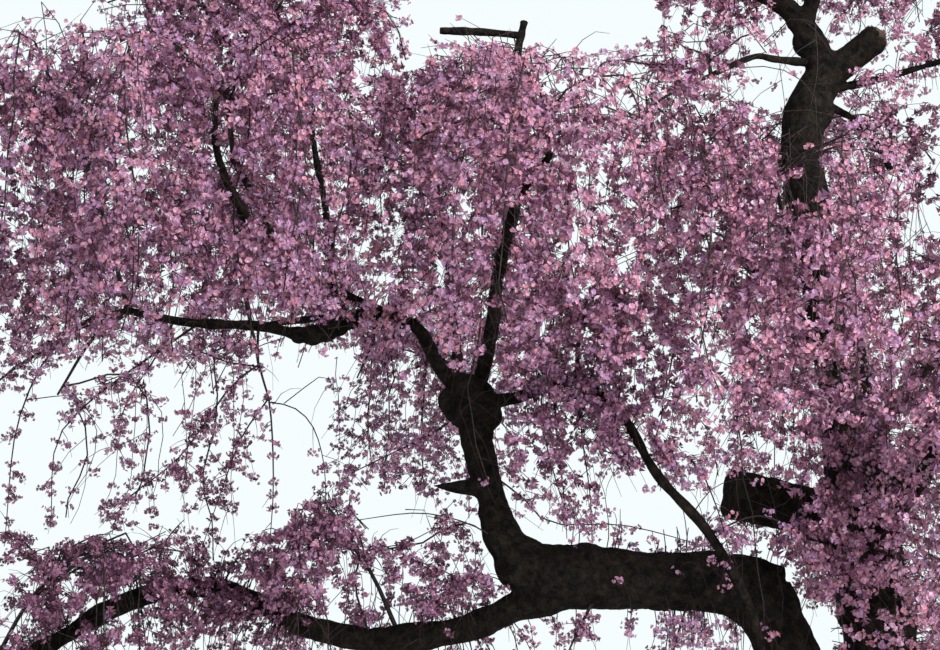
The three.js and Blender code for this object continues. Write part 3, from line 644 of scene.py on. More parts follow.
def curve_between(knots, shares):
    """Points of the smooth curve through the knots, at shares of its run from knot to knot. It is
    the centripetal Catmull-Rom curve that the solid limbs follow."""
    ends = np.vstack([2 * knots[0] - knots[1], knots, 2 * knots[-1] - knots[-2]])
    run = np.clip(shares, 0, 1) * (len(knots) - 1)
    before = np.minimum(run.astype(int), len(knots) - 2)
    part = (run - before)[:, None]
    a, b, c, d = (ends[before + i, :3] for i in range(4))
    ab, bc, cd = (np.sqrt(np.linalg.norm(q - p, axis=1, keepdims=True))
        for p, q in ((a, b), (b, c), (c, d)))
    leave = ((b - a) / ab - (c - a) / (ab + bc) + (c - b) / bc) * bc
    reach = ((c - b) / bc - (d - b) / (bc + cd) + (d - c) / cd) * bc
    place = b + leave * part + (3 * (c - b) - 2 * leave - reach) * part ** 2 \
        + (2 * (b - c) + leave + reach) * part ** 3
    radius = np.interp(run, np.arange(len(knots)), knots[:, 3])
    return np.column_stack([place, radius])


def measure(knots):
    """Shares of the curve's run that cut it finely, and the length of each cut"""
    grid = np.linspace(0, 1, CURVE_CUTS)
    places = curve_between(knots, grid)[:, :3]
    return grid, np.linalg.norm(np.diff(places, axis=0), axis=1)


def along(knots, shares):
    """Points of the smooth curve through the knots, at shares of its length"""
    grid, steps = measure(knots)
    length = np.concatenate([[0], np.cumsum(steps)])
    return curve_between(knots, np.interp(np.asarray(shares) * length[-1], length, grid))


def length_of(knots):
    return measure(knots)[1].sum()


def heading_at(knots, shares):
    """Which way the curve runs, at shares of its length"""
    before, after = (along(knots, shares + side)[:, :3] for side in (-HEADING_SHARE, HEADING_SHARE))
    return unit(after - before)


def evenly(knots, spacing):
    """Points along the curve, the spacing apart or a little less"""
    count = max(math.ceil(length_of(knots) / spacing), 2)
    return along(knots, np.linspace(0, 1, count + 1))


def unit(vectors):
    return vectors / np.maximum(np.linalg.norm(vectors, axis=-1, keepdims=True), LEAST_LENGTH)


LIMB_LINES = {name: np.array(points) * METRE for name, points in LIMBS.items()}
LIMB_LINES["trunk"] = np.array([(0, 0, 0, TRUNK_FOOT_RADIUS), (0, 0, FORK_HEIGHT, TRUNK_FORK_RADIUS)])


# The bark

# Limbs thick enough to be fused into one skin, in metres; the others are slender tubes that grow
# out of it
THICK_RADIUS = 0.062
SKIN_VOXEL = 0.016
THICK_RING_SPACING = 0.05
THICK_SIDES = 24
SLENDER_RING_SPACING = 0.035
SLENDER_SIDES = 8

# The trunk's rings and sides, how its taper runs, how its lobes are turned in radians, and how far
# below the ground it is made before the flat cut
TRUNK_RINGS = 30
TRUNK_SIDES = 48
TRUNK_TAPER = 2 / 3
ROOT_LOBE_TURN = 0.6
UNDERGROUND = 0.06

# How far limbs swell and shrink as a share of their radius, and over how many radii
SWELL_SHARE = 0.22
SWELL_LENGTH = 6

# The relief of the bark: the sizes of its lumps and ridges in metres, how far they stand out as
# shares of the whole, which is a share of the limb's radius up to the most that it may be
LUMP_SIZES = (0.2, 0.085)
SMALL_LUMP_SHARE = 0.5
RIDGE_WIDTH = 0.05
RIDGE_LENGTH = 0.11
LUMP_SHARE = 0.8
RIDGE_SHARE = 0.55
RELIEF_SHARE = 0.17
MOST_RELIEF = 0.024

# Burrs and old pruning knobs on the limbs, as (x, y, z, radius) in millimetres
BURRS = (
    (-2470, -230, 3660, 140), (-2560, -120, 3700, 120), (-2400, -200, 3540, 118),
    (-2440, -250, 3420, 105), (-2620, -170, 3650, 100), (-2390, -280, 3600, 100),
    (-2550, -170, 3590, 128),
    (-2520, -260, 3740, 92), (-2350, -190, 2900, 105), (-2160, -190, 2560, 185),
    (-1740, -190, 2515, 188), (-1350, -160, 2440, 160), (-1120, -150, 2400, 150),
    (-900, -120, 2490, 165), (-620, -90, 2350, 215), (-100, 0, 2850, 165),
    (180, 40, 2300, 250), (130, 40, 3250, 215), (40, 60, 4400, 180), (-150, 10, 5420, 172),
    (-60, 0, 5800, 168), (90, -10, 6120, 130), (-60, 0, 6330, 118), (380, -95, 6290, 108),
    (-2000, -160, 2360, 140), (-3120, 140, 2090, 92), (-4180, 320, 2430, 74),
    (-3410, 60, 4222, 72), (-3500, 70, 4190, 82), (-3590, 85, 4168, 80), (-3690, 100, 4172, 64),
)

# The limb whose sawn end shows its wood, where along it its heading is taken, and which faces are
# the end: how far behind it in metres, how far round its middle in radii, and how squarely they face
SAWN_LIMB = "sawn_stub"
SAWN_HEADING_SHARE = 0.97
SAWN_DEPTH = 0.02
SAWN_REACH = 1.3
SAWN_FACING = 0.6


def ring_places(line):
    """A matrix for each ring of a tube, which takes a unit circle to its place on the line"""
    headings = [Vector(step) for step in unit(np.gradient(line[:, :3], axis=0))]
    side = headings[0].orthogonal()
    places = []
    for (x, y, z, radius), heading in zip(line, headings):
        side = (side - heading * side.dot(heading)).normalized()
        turn = Matrix((side, heading.cross(side), heading)).transposed().to_4x4()
        places.append(Matrix.Translation((x, y, z)) @ turn @ Matrix.Diagonal((radius, radius, 1, 1)))
    return places


def add_tube(mesh, line, sides):
    """A closed tube along the line, extruded ring by ring. Returns its vertices."""
    places = ring_places(line)
    ring = bmesh.ops.create_circle(mesh, radius=1, segments=sides, matrix=places[0])["verts"]
    first = edges = list(dict.fromkeys(edge for vert in ring for edge in vert.link_edges))
    made = list(ring)
    for before, after in zip(places, places[1:]):
        grown = bmesh.ops.extrude_edge_only(mesh, edges=edges)["geom"]
        ring = [part for part in grown if isinstance(part, bmesh.types.BMVert)]
        edges = [part for part in grown if isinstance(part, bmesh.types.BMEdge)]
        bmesh.ops.transform(mesh, matrix=after @ before.inverted(), verts=ring)
        made += ring
    bmesh.ops.edgeloop_fill(mesh, edges=first)
    bmesh.ops.edgeloop_fill(mesh, edges=edges)
    return made


def add_trunk(mesh):
    """The trunk, with buttress roots that swell it towards the ground. It goes on below the
    ground, so that the flat cut comes last."""
    heights = np.linspace(-UNDERGROUND, FORK_HEIGHT, TRUNK_RINGS)
    line = np.column_stack([np.zeros((TRUNK_RINGS, 2)), heights, np.ones(TRUNK_RINGS)])
    for vert in add_tube(mesh, line, TRUNK_SIDES):
        height = max(vert.co.z, 0)
        turn = math.atan2(vert.co.y, vert.co.x)
        share = (height / FORK_HEIGHT) ** TRUNK_TAPER
        lobes = 1 + ROOT_LOBE_DEPTH * math.cos(ROOT_LOBES * turn + ROOT_LOBE_TURN)
        flare = 1 + ROOT_FLARE * math.exp(-height / ROOT_FLARE_HEIGHT) * lobes
        radius = flare * (TRUNK_FOOT_RADIUS + share * (TRUNK_FORK_RADIUS - TRUNK_FOOT_RADIUS))
        depth = 1 + share * (TRUNK_FORK_DEPTH_SHARE - 1)
        vert.co.x = math.cos(turn) * radius
        vert.co.y = math.sin(turn) * radius * depth


def add_limbs(mesh, names, spacing, sides):
    for name in names:
        line = evenly(LIMB_LINES[name], spacing)
        swell = [noise.noise(Vector(p[:3]) / (SWELL_LENGTH * p[3])) for p in line]
        line[:, 3] *= 1 + SWELL_SHARE * np.array(swell)
        add_tube(mesh, line, sides)


def mesh_object(name, mesh, materials):
    """An object for a finished bmesh or mesh, with its materials"""
    data = mesh
    if isinstance(mesh, bmesh.types.BMesh):
        bmesh.ops.recalc_face_normals(mesh, faces=mesh.faces)
        data = bpy.data.meshes.new(name)
        mesh.to_mesh(data)
        mesh.free()
    for material in materials:
        data.materials.append(material)
    obj = bpy.data.objects.new(name, data)
    bpy.context.scene.collection.objects.link(obj)
    return obj


def fuse_skin(obj):
    """Fuses overlapping tubes into one skin of even faces"""
    fuse = obj.modifiers.new("skin", "REMESH")
    fuse.mode = "VOXEL"
    fuse.voxel_size = SKIN_VOXEL
    fuse.use_smooth_shade = True
    view = bpy.context.evaluated_depsgraph_get()
    skin = bpy.data.meshes.new_from_object(obj.evaluated_get(view))
    obj.modifiers.clear()
    obj.data = skin


def bark_relief(place, thickness):
    """How far the bark stands out at a place: lumps, then ridges, less on thinner limbs"""
    large, small = (noise.noise(place / size) for size in LUMP_SIZES)
    lumps = large + SMALL_LUMP_SHARE * small
    ridge = Vector((place.x / RIDGE_WIDTH, place.y / RIDGE_WIDTH, place.z / RIDGE_LENGTH))
    shape = LUMP_SHARE * lumps - RIDGE_SHARE * abs(noise.noise(ridge))
    return min(MOST_RELIEF, RELIEF_SHARE * thickness) * shape


WOOD = np.vstack([evenly(line, WOOD_SPACING) for line in LIMB_LINES.values()])
WOOD_TREE = kdtree.KDTree(len(WOOD))
for index, point in enumerate(WOOD):
    WOOD_TREE.insert(point[:3], index)
WOOD_TREE.balance()


def roughen(mesh):
    """Moves every vertex along its normal by the bark's relief"""
    for vert in mesh.verts:
        _, index, _ = WOOD_TREE.find(vert.co)
        vert.co += vert.normal * bark_relief(vert.co, WOOD[index, 3])


def cut_at_ground(mesh):
    """The flat cut at ground level"""
    everything = mesh.verts[:] + mesh.edges[:] + mesh.faces[:]
    cut = bmesh.ops.bisect_plane(mesh, geom=everything, plane_co=(0, 0, 0), plane_no=(0, 0, 1),
        clear_inner=True)["geom_cut"]
    bmesh.ops.holes_fill(mesh, edges=[part for part in cut if isinstance(part, bmesh.types.BMEdge)])


def mark_sawn_end(mesh):
    """Gives the weathered end grain to the faces of the sawn end"""
    line = LIMB_LINES[SAWN_LIMB]
    before, end = (Vector(p[:3]) for p in along(line, [SAWN_HEADING_SHARE, 1]))
    heading = (end - before).normalized()
    for face in mesh.faces:
        gap = face.calc_center_median() - end
        near = gap.length < line[-1, 3] * SAWN_REACH and gap.dot(heading) > -SAWN_DEPTH
        if near and face.normal.dot(heading) > SAWN_FACING:
            face.material_index = 1


def shade_smooth(mesh):
    for face in mesh.faces:
        face.smooth = True


def make_thick_bark(names):
    mesh = bmesh.new()
    add_trunk(mesh)
    add_limbs(mesh, [name for name in names if name != "trunk"], THICK_RING_SPACING, THICK_SIDES)
    for x, y, z, radius in BURRS:
        bmesh.ops.create_icosphere(mesh, subdivisions=3, radius=radius * METRE,
            matrix=Matrix.Translation(Vector((x, y, z)) * METRE))
    obj = mesh_object("bark_of_trunk_and_limbs", mesh, (BARK, SAWN_WOOD))
    fuse_skin(obj)
    mesh = bmesh.new()
    mesh.from_mesh(obj.data)
    bmesh.ops.smooth_vert(mesh, verts=mesh.verts, factor=0.5, use_axis_x=True, use_axis_y=True,
        use_axis_z=True)
    mesh.normal_update()
    roughen(mesh)
    cut_at_ground(mesh)
    mesh.normal_update()
    mark_sawn_end(mesh)
    shade_smooth(mesh)
    mesh.to_mesh(obj.data)
    mesh.free()
    return obj


def make_slender_bark(names):
    mesh = bmesh.new()
    add_limbs(mesh, names, SLENDER_RING_SPACING, SLENDER_SIDES)
    mesh.normal_update()
    roughen(mesh)
    shade_smooth(mesh)
    return mesh_object("bark_of_slender_boughs", mesh, (BARK,))


def stand_for(obj, names):
    """The piece rides on the tree and stands for the named solids, which it hides"""
    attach(obj, "root")
    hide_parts(*names)


thick = [name for name, line in LIMB_LINES.items() if line[:, 3].max() > THICK_RADIUS]
slender = [name for name in LIMB_LINES if name not in thick]
stand_for(make_thick_bark(thick), thick)
stand_for(make_slender_bark(slender), slender)


# The spaces of the masses

MIDDLES = np.array([mass.middle for mass in MASSES.values()]) * METRE
REACHES = np.array([mass.reach for mass in MASSES.values()]) * METRE
UPRIGHT = np.array((1, 1, HEIGHT_WEIGHT))
SIZES = (REACHES @ UPRIGHT) / 3
APART = np.linalg.norm((MIDDLES[:, None] - MIDDLES[None]) * UPRIGHT, axis=2)
UP = np.array((0, 0, 1))


def in_own_space(points, index):
    """True where a point lies in the mass's own space, as in the solids: within its reach, and
    clear of every other mass's space"""
    bulge = (np.abs((points - MIDDLES[index]) / REACHES[index]) ** SPACE_ROUNDNESS).sum(axis=1)
    near = (((points[:, None] - MIDDLES[None]) * UPRIGHT) ** 2).sum(axis=2) - SIZES ** 2
    lead = np.delete(near - near[:, [index]], index, axis=1) / (2 * np.delete(APART[index], index))
    return (bulge <= 1) & (lead > SPACE_MARGIN).all(axis=1)


def clear_of_wood(points, margin):
    """True where a point is further than the margin from every limb"""
    gaps = np.linalg.norm(points[:, None] - WOOD[None, :, :3], axis=2) - WOOD[:, 3]
    return (gaps > margin).all(axis=1)


def within_outline(points, inset):
    """True where points keep to the outline of the solids, with a small allowance beyond it"""
    low, high = np.array(CAD_LOW), np.array(CAD_HIGH)
    beyond = OUTLINE_SHARE * (high - low) + OUTLINE_MARGIN - inset
    return ((points > low - beyond) & (points < high + beyond)).all(axis=1)


BARE_WOOD = np.vstack([along(LIMB_LINES[name], np.linspace(low, high, BARE_PLACES))
    for name, low, high in BARE_STRETCHES])


def hides_bare_wood(points):
    """True where a blossom would stand before a stretch of limb that shows bare from the front"""
    sight = points - CAMERA_PLACE
    far = np.linalg.norm(sight, axis=1)
    to_wood = BARE_WOOD[:, :3] - CAMERA_PLACE
    ahead = (sight / far[:, None]) @ to_wood.T
    aside = np.sqrt(np.maximum((to_wood ** 2).sum(axis=1) - ahead ** 2, 0))
    return ((aside < BARE_WOOD[:, 3] + BARE_MARGIN) & (far[:, None] < ahead)).any(axis=1)


def picture_places(points):
    """Where points fall in the front picture, in pixels from its top left corner"""
    scale = PICTURE_SIZE[0] * CAMERA_LENS / SENSOR_WIDTH
    right, deep, high = (points - CAMERA_PLACE).T
    ahead = deep * math.cos(CAMERA_PITCH) + high * math.sin(CAMERA_PITCH)
    above = high * math.cos(CAMERA_PITCH) - deep * math.sin(CAMERA_PITCH)
    return np.column_stack([right, -above]) * scale / ahead[:, None] + np.array(PICTURE_SIZE) / 2


def gap_shares(points):
    """How much of the blossom stays at each point: less where the sky shows through"""
    places = picture_places(points)
    shares = np.ones(len(points))
    for middle, half, share in SKY_GAPS:
        inside = (((places - middle) / half) ** 2).sum(axis=1) < 1
        shares = np.where(inside, np.minimum(shares, share), shares)
    return shares


# How the masses grow

def space_of(mass):
    """The middle and the reach of the mass's space, in metres"""
    return np.array(mass.middle) * METRE, np.array(mass.reach) * METRE


def branch_line(mass, stem, k, count, first_turn, chance):
    """The middle line of one branch, as in the solids: from the stem it arches outwards, then
    hangs to its foot"""
    middle, reach = space_of(mass)
    share = math.sqrt((k + INNERMOST_BRANCH) / count)
    turn = k * GOLDEN_ANGLE + first_turn
    out = reach * (math.cos(turn), math.sin(turn), 0)
    start = along(stem, [FIRST_START + START_RUN * ((k * GOLDEN_SHARE) % 1)])[0, :3]
    shoulder_height = SHOULDER_HEIGHT - SHOULDER_FALL * share ** 2
    hip_depth = HIP_DEPTH + HIP_DEPTH_RUN * chance.random()
    foot_depth = FOOT_DEPTH + FOOT_DEPTH_RUN * chance.random()
    shoulder = middle + out * share * SHOULDER_SPREAD + UP * reach * shoulder_height
    hip = middle + out * share * HIP_SPREAD - UP * reach * hip_depth
    foot = middle + out * share * FOOT_SPREAD - UP * reach * foot_depth
    return np.array((start, shoulder, hip, foot))


def with_radius(points, thick, thin):
    """Rows of (x, y, z) with a radius that tapers along them"""
    return np.column_stack([points, np.linspace(thick, thin, len(points))])


def stem_line(mass):
    """The stem of a mass, as in the solids: from its bough to the crest of its space"""
    middle, reach = space_of(mass)
    root = along(LIMB_LINES[mass.bough], [min(mass.leaves, LAST_ROOT_SHARE)])[0, :3]
    crest = middle + UP * reach * CREST_HEIGHT
    knee = (root + crest) / 2 + UP * reach * KNEE_RISE
    return with_radius([root, knee, crest], STEM_RADIUS, STEM_TIP_RADIUS)


def kept_length(lines, index, chance):
    """How many points of each line come before it leaves the mass's space, touches a limb or
    would cross a gap"""
    flat = lines[:, :, :3].reshape(-1, 3)
    free = in_own_space(flat, index) & clear_of_wood(flat, TWIG_MARGIN)
    free &= within_outline(flat, TWIG_INSET)
    free = free.reshape(lines.shape[:2])
    free &= gap_shares(flat).reshape(lines.shape[:2]) > chance.random(len(lines))[:, None]
    free[:, 0] = True
    return np.cumprod(free, axis=1).sum(axis=1)


def bend(points):
    """The points moved by a smooth field of bends, so that no branch runs straight"""
    moves = np.zeros(points.shape).reshape(-1, 3)
    for row, place in enumerate(points.reshape(-1, 3)):
        for size, pace in BENDS:
            moves[row] += size * np.array(noise.noise_vector(Vector(place) * pace))
    return points + moves.reshape(points.shape)


def hanging_twigs(branches, lengths, chance):
    """Side twigs that leave the branches on all sides and bend down under their own weight"""
    starts, headings = [], []
    for branch in branches:
        count = int(length_of(branch) / TWIG_SPACING)
        shares = (np.arange(count) + chance.random(count)) / max(count, 1)
        starts.append(along(branch, shares)[:, :3])
        headings.append(heading_at(branch, shares))
    starts, headings = np.vstack(starts), np.vstack(headings)
    sideways = unit(np.cross(headings, chance.normal(size=headings.shape)))
    heading = unit(TWIG_LEAN * headings + sideways + TWIG_RISE * UP)
    step = chance.uniform(*lengths, len(starts))[:, None] / (TWIG_POINTS - 1)
    points = [starts]
    for _ in range(TWIG_POINTS - 1):
        heading = unit(heading - UP * TWIG_DROOP + chance.normal(0, TWIG_WAVER, heading.shape))
        points.append(points[-1] + heading * step)
    radii = np.linspace(TWIG_RADIUS, TWIG_TIP_RADIUS, TWIG_POINTS)
    radii = np.broadcast_to(radii, (len(starts), TWIG_POINTS))
    return np.dstack([np.stack(points, axis=1), radii])


def bough_twigs(name, low, high, spacing, longest, chance):
    """Long twigs that leave a limb on all sides, arch over and hang"""
    knots = LIMB_LINES[name]
    count = int(length_of(knots) * (high - low) / spacing)
    shares = low + (high - low) * chance.random(count)
    start = along(knots, shares)
    sideways = np.cross(heading_at(knots, shares), chance.normal(size=(count, 3)))
    heading = unit(sideways + BOUGH_TWIG_RISE * UP)
    lengths = longest * chance.uniform(SHORTEST_BOUGH_TWIG, 1, count)[:, None]
    step = lengths / (BOUGH_TWIG_POINTS - 1)
    points = [start[:, :3] + heading * start[:, 3:] * BOUGH_TWIG_START]
    for _ in range(BOUGH_TWIG_POINTS - 1):
        points.append(points[-1] + heading * step)
        waver = chance.normal(0, BOUGH_TWIG_WAVER, heading.shape)
        heading = unit(heading - UP * BOUGH_TWIG_DROOP + waver)
    lines = np.stack(points, axis=1)
    lines = lines + (bend(lines) - lines) * np.linspace(0, 1, BOUGH_TWIG_POINTS)[:, None]
    flat = lines.reshape(-1, 3)
    free = clear_of_wood(flat, TWIG_MARGIN) & (gap_shares(flat) > chance.random(len(flat)))
    free &= within_outline(flat, TWIG_INSET)
    free = free.reshape(lines.shape[:2])
    free[:, :3] = True
    kept = np.cumprod(free, axis=1).sum(axis=1)
    radii = np.linspace(FINE_BRANCH_RADIUS, TWIG_TIP_RADIUS, BOUGH_TWIG_POINTS)[:, None]
    return [np.hstack([line, radii])[:many] for line, many in zip(lines, kept) if many > 2]


def grow_mass(index, name):
    """The stem and the branches of one mass, and its side twigs, as lists of lines"""
    mass = MASSES[name]
    chance = np.random.default_rng(index + 1)
    stem = stem_line(mass)
    main = [with_radius(branch_line(mass, stem, k, mass.branches, index + MAIN_TURN, chance),
        BRANCH_RADIUS, FINE_BRANCH_RADIUS) for k in range(mass.branches)]
    fullness = FULLNESS.get(name, 1)
    fine = []
    fine_count = int(mass.branches * FINER_BRANCHES * max(fullness, 1))
    for k in range(fine_count):
        line = branch_line(mass, stem, k, fine_count, index + FINE_TURN, chance)
        line[1:] += chance.normal(0, FINE_STRAY, (3, 3)) * np.array(mass.reach) * METRE
        bearer = min(main, key=lambda other: np.linalg.norm(other[1, :3] - line[1]))
        line[0] = along(bearer, [FINE_START + FINE_START_RUN * chance.random()])[0, :3]
        fine.append(with_radius(line, FINE_BRANCH_RADIUS, TWIG_TIP_RADIUS))
    branches = np.stack([along(line, np.linspace(0, 1, BRANCH_POINTS)) for line in main + fine])
    branches[:, 1:, :3] = bend(branches[:, 1:, :3])
    kept = kept_length(branches, index, chance)
    branches = [line[:many] for line, many in zip(branches, kept) if many > 2]
    twigs = hanging_twigs(branches, TWIG_LENGTHS, chance)
    twigs = twigs[chance.random(len(twigs)) < fullness]
    kept = kept_length(twigs, index, chance)
    twigs = [line[:many] for line, many in zip(twigs, kept) if many > 1]
    return [along(stem, np.linspace(0, 1, STEM_POINTS))] + branches, twigs


def cluster_places(lines, spacing, chance):
    """Places of blossom clusters along the lines, and the line that each hangs on"""
    starts = np.vstack([line[:-1, :3] for line in lines])
    ends = np.vstack([line[1:, :3] for line in lines])
    owner = np.repeat(np.arange(len(lines)), [len(line) - 1 for line in lines])
    lengths = np.linalg.norm(ends - starts, axis=1)
    many = (lengths / spacing + chance.random(len(lengths))).astype(int)
    part = chance.random(many.sum())[:, None]
    places = np.repeat(starts, many, axis=0) * (1 - part) + np.repeat(ends, many, axis=0) * part
    return places, np.repeat(owner, many)


def spray_tones(lines, chance):
    """Which pink each spray of blossom has: warmer and paler towards the right and low, partly the
    pinks' own warmth and partly painted light from the right, deeper and more mauve towards the
    left, with painted shade low on the left, and patches between"""
    middles = np.array([line[len(line) // 2, :3] for line in lines])
    patches = np.array([noise.noise(Vector(place * PATCH_PACE)) for place in middles])
    warmth_and_light = np.clip((middles[:, 0] - WARM_AND_LIT_MIDDLE) / WARM_AND_LIT_REACH, -1, 1)
    low = np.clip((PAINTED_SHADE_TOP - middles[:, 2]) / PAINTED_SHADE_HEIGHT, 0, 1)
    left = np.clip(-middles[:, 0] / PAINTED_SHADE_WIDTH, 0, 1)
    # Paler pinks on the right are partly painted light; deeper pinks low on the left are painted shade
    draw = PATCH_WEIGHT * patches - WARM_AND_LIT_WEIGHT * warmth_and_light + PAINTED_SHADE_WEIGHT * (low * left) \
        + chance.normal(0, TONE_SCATTER, len(lines))
    return np.digitize(draw, TONE_STEPS)


def umbels(places, tones, kind, chance):
    """The flowers of each cluster: where it hangs, which way each stalk points, its length, the
    flower's radius and its tone"""
    many = kind["flowers"]
    count = len(places) * many
    turn = np.tile(np.arange(many), len(places)) * math.tau / many
    turn = turn + np.repeat(chance.uniform(0, math.tau, len(places)), many)
    turn += chance.normal(0, STALK_SPREAD, count)
    dip = chance.uniform(*STALK_DIPS, count)
    away = np.column_stack([np.cos(turn) * np.cos(dip), np.sin(turn) * np.cos(dip), np.sin(dip)])
    tones = np.repeat(tones, many)
    stray = chance.random(count) < STRAY_SHARE
    tones = np.where(stray, chance.integers(0, len(PETAL_COLOURS), count), tones)
    return (np.repeat(places, many, axis=0), away, chance.uniform(*kind["stalks"], count),
        chance.uniform(*kind["radii"], count), tones)


def inner_flowers(places, chance):
    """Larger flowers in the deep and dusky pinks inside a mass, one at each place: painted shade"""
    count = len(places)
    darkest = len(PETAL_COLOURS) - 1
    # Only the two deepest pinks: painted shade inside the mass
    return (places, unit(chance.normal(size=(count, 3))), chance.uniform(*INNER_STALKS, count),
        chance.uniform(*INNER_RADII, count), darkest - (chance.random(count) < DEEP_SHARE))


def flower_arrays(roots, away, lengths, radii, tones, petals, stalked, chance):
    """Double flowers, a share of them on stalks that show, as points, faces and the tone of each
    face"""
    count = len(roots)
    middles = roots + away * lengths[:, None]
    facing = unit(away + chance.normal(0, FLOWER_TILT, (count, 3)))
    radii = radii[:, None]
    side = unit(np.cross(facing, chance.normal(size=(count, 3))))
    top = np.cross(facing, side)
    hearts = middles - facing * radii * HEART_DEPTH
    points, faces, face_tones = [hearts], [], []
    spin = chance.uniform(0, math.tau, count)[:, None]
    width = PETAL_WIDTH * PETALS / petals
    for petal in range(petals):
        angle = spin + petal * math.tau / petals
        outward = side * np.cos(angle) + top * np.sin(angle)
        across = top * np.cos(angle) - side * np.sin(angle)
        for edge in (-width, width):
            lift = radii * chance.uniform(*PETAL_LIFTS, (count, 1))
            reach = radii * chance.uniform(*PETAL_REACHES, (count, 1))
            points.append(middles + outward * reach + across * radii * edge + facing * lift)
        faces.append((0, len(points) - 2, len(points) - 1))
        change = (chance.random(count) < PETAL_CHANGE) * chance.choice((-1, 1), count)
        face_tones.append(np.clip(tones + change, 0, len(PETAL_COLOURS) - 1))
    faces = np.arange(count)[:, None, None] * len(points) + np.array(faces)[None]
    points = np.stack(points, axis=1).reshape(-1, 3)
    shown = chance.random(count) < stalked
    thin = side[shown] * STALK_WIDTH / 2
    stalks = np.stack([roots[shown] - thin, roots[shown] + thin, hearts[shown]], axis=1)
    stalks = stalks.reshape(-1, 3)
    stalk_faces = np.arange(len(stalks)).reshape(-1, 3) + len(points)
    face_tones = np.stack(face_tones, axis=1).reshape(-1)
    return (np.vstack([points, stalks]), np.vstack([faces.reshape(-1, 3), stalk_faces]),
        np.concatenate([face_tones, np.full(len(stalk_faces), STALK_TONE)]))


def tube_arrays(lines):
    """Three-sided tapering tubes along the lines, as points and faces"""
    points, faces, offset = [], [], 0
    for many in sorted({len(line) for line in lines}):
        group = np.stack([line for line in lines if len(line) == many])
        heading = unit(np.gradient(group[:, :, :3], axis=1))
        side = unit(np.cross(heading, ODD_DIRECTION))
        top = np.cross(heading, side)
        rings = [group[:, :, :3] + group[:, :, 3:] * (side * math.cos(a) + top * math.sin(a))
            for a in (0, math.tau / 3, 2 * math.tau / 3)]
        points.append(np.stack(rings, axis=2).reshape(-1, 3))
        steps = [(0, 2, 1), (3 * many - 3, 3 * many - 2, 3 * many - 1)]
        for ring in range(0, 3 * many - 3, 3):
            for a, b in ((0, 1), (1, 2), (2, 0)):
                steps += [(ring + a, ring + b, ring + b + 3), (ring + a, ring + b + 3, ring + a + 3)]
        group_faces = np.arange(len(group))[:, None, None] * 3 * many + np.array(steps)[None]
        faces.append(group_faces.reshape(-1, 3) + offset)
        offset += len(points[-1])
    return np.vstack(points), np.vstack(faces)


def mesh_from_arrays(name, points, faces, tones=None, smooth=False):
    """A mesh of triangles, each with its tone"""
    mesh = bpy.data.meshes.new(name)
    mesh.vertices.add(len(points))
    mesh.vertices.foreach_set("co", points.astype(np.float32).ravel())
    mesh.loops.add(faces.size)
    mesh.loops.foreach_set("vertex_index", faces.astype(np.int32).ravel())
    mesh.polygons.add(len(faces))
    mesh.polygons.foreach_set("loop_start", np.arange(0, faces.size, 3, dtype=np.int32))
    if tones is not None:
        mesh.polygons.foreach_set("material_index", tones.astype(np.int32))
    mesh.polygons.foreach_set("use_smooth", np.full(len(faces), smooth))
    mesh.update(calc_edges=True)
    return mesh


def keep_open(places, level, chance):
    """True for the clusters that stay: those in clumps that hide no bare limb and no gap, and a
    few strays"""
    clump = np.array([noise.noise(Vector(place / CLUMP_SIZE)) for place in places])
    clumped = clump + chance.normal(0, CLUMP_RAGGEDNESS, len(places)) > level
    before_wood = hides_bare_wood(places) & (chance.random(len(places)) > STRAY_BEFORE_WOOD)
    return clumped & ~before_wood & (chance.random(len(places)) < gap_shares(places))


def inside_share(points, index):
    """How far out each point lies in the mass's space, from 0 at its middle to 1 at its reach"""
    bulge = np.abs((points - MIDDLES[index]) / REACHES[index]) ** SPACE_ROUNDNESS
    return bulge.sum(axis=1) ** (1 / SPACE_ROUNDNESS)


def long_twigs(rows, chance):
    """The longest twigs, and the side twigs that leave them"""
    lines, bearers = [], []
    for rounds, points in rows:
        lines.append(along(np.array(points) * METRE, np.linspace(0, 1, BRANCH_POINTS)))
        bearers += [lines[-1]] * rounds
    return lines, list(hanging_twigs(bearers, SHORT_TWIG_LENGTHS, chance))


def blossoms_on(lines, spacing, level, chance):
    """Where clusters of blossom hang on the lines, the tone of each, and which line bears it"""
    places, owner = cluster_places(lines, spacing, chance)
    stay = keep_open(places, level, chance) & clear_of_wood(places, CLUSTER_MARGIN)
    stay &= within_outline(places, CLUSTER_REACH)
    return places[stay], spray_tones(lines, chance)[owner[stay]], owner[stay]


def bearing(twigs, owner, chance):
    """The twigs that bear blossom, and a few bare ones"""
    kept = chance.random(len(twigs)) < BARE_TWIG_SHARE
    kept[owner] = True
    return [twig for twig, stays in zip(twigs, kept) if stays]


def together(groups):
    """The arrays of several groups of flowers, put end to end"""
    return [np.concatenate(parts) for parts in zip(*groups)]


def joined(parts):
    """Two sets of flowers as one: the faces of the second count on from the points of the first"""
    (points, faces, tones), (more_points, more_faces, more_tones) = parts
    return (np.vstack([points, more_points]), np.vstack([faces, more_faces + len(points)]),
        np.concatenate([tones, more_tones]))


def make_piece(name, finishes, masses, arrays, smooth=False):
    """One joined piece of foliage, which stands for the solids of its masses"""
    mesh = mesh_from_arrays(name, *arrays, smooth=smooth)
    stand_for(mesh_object(name, mesh, finishes), [f"{mass}_blossom" for mass in masses])


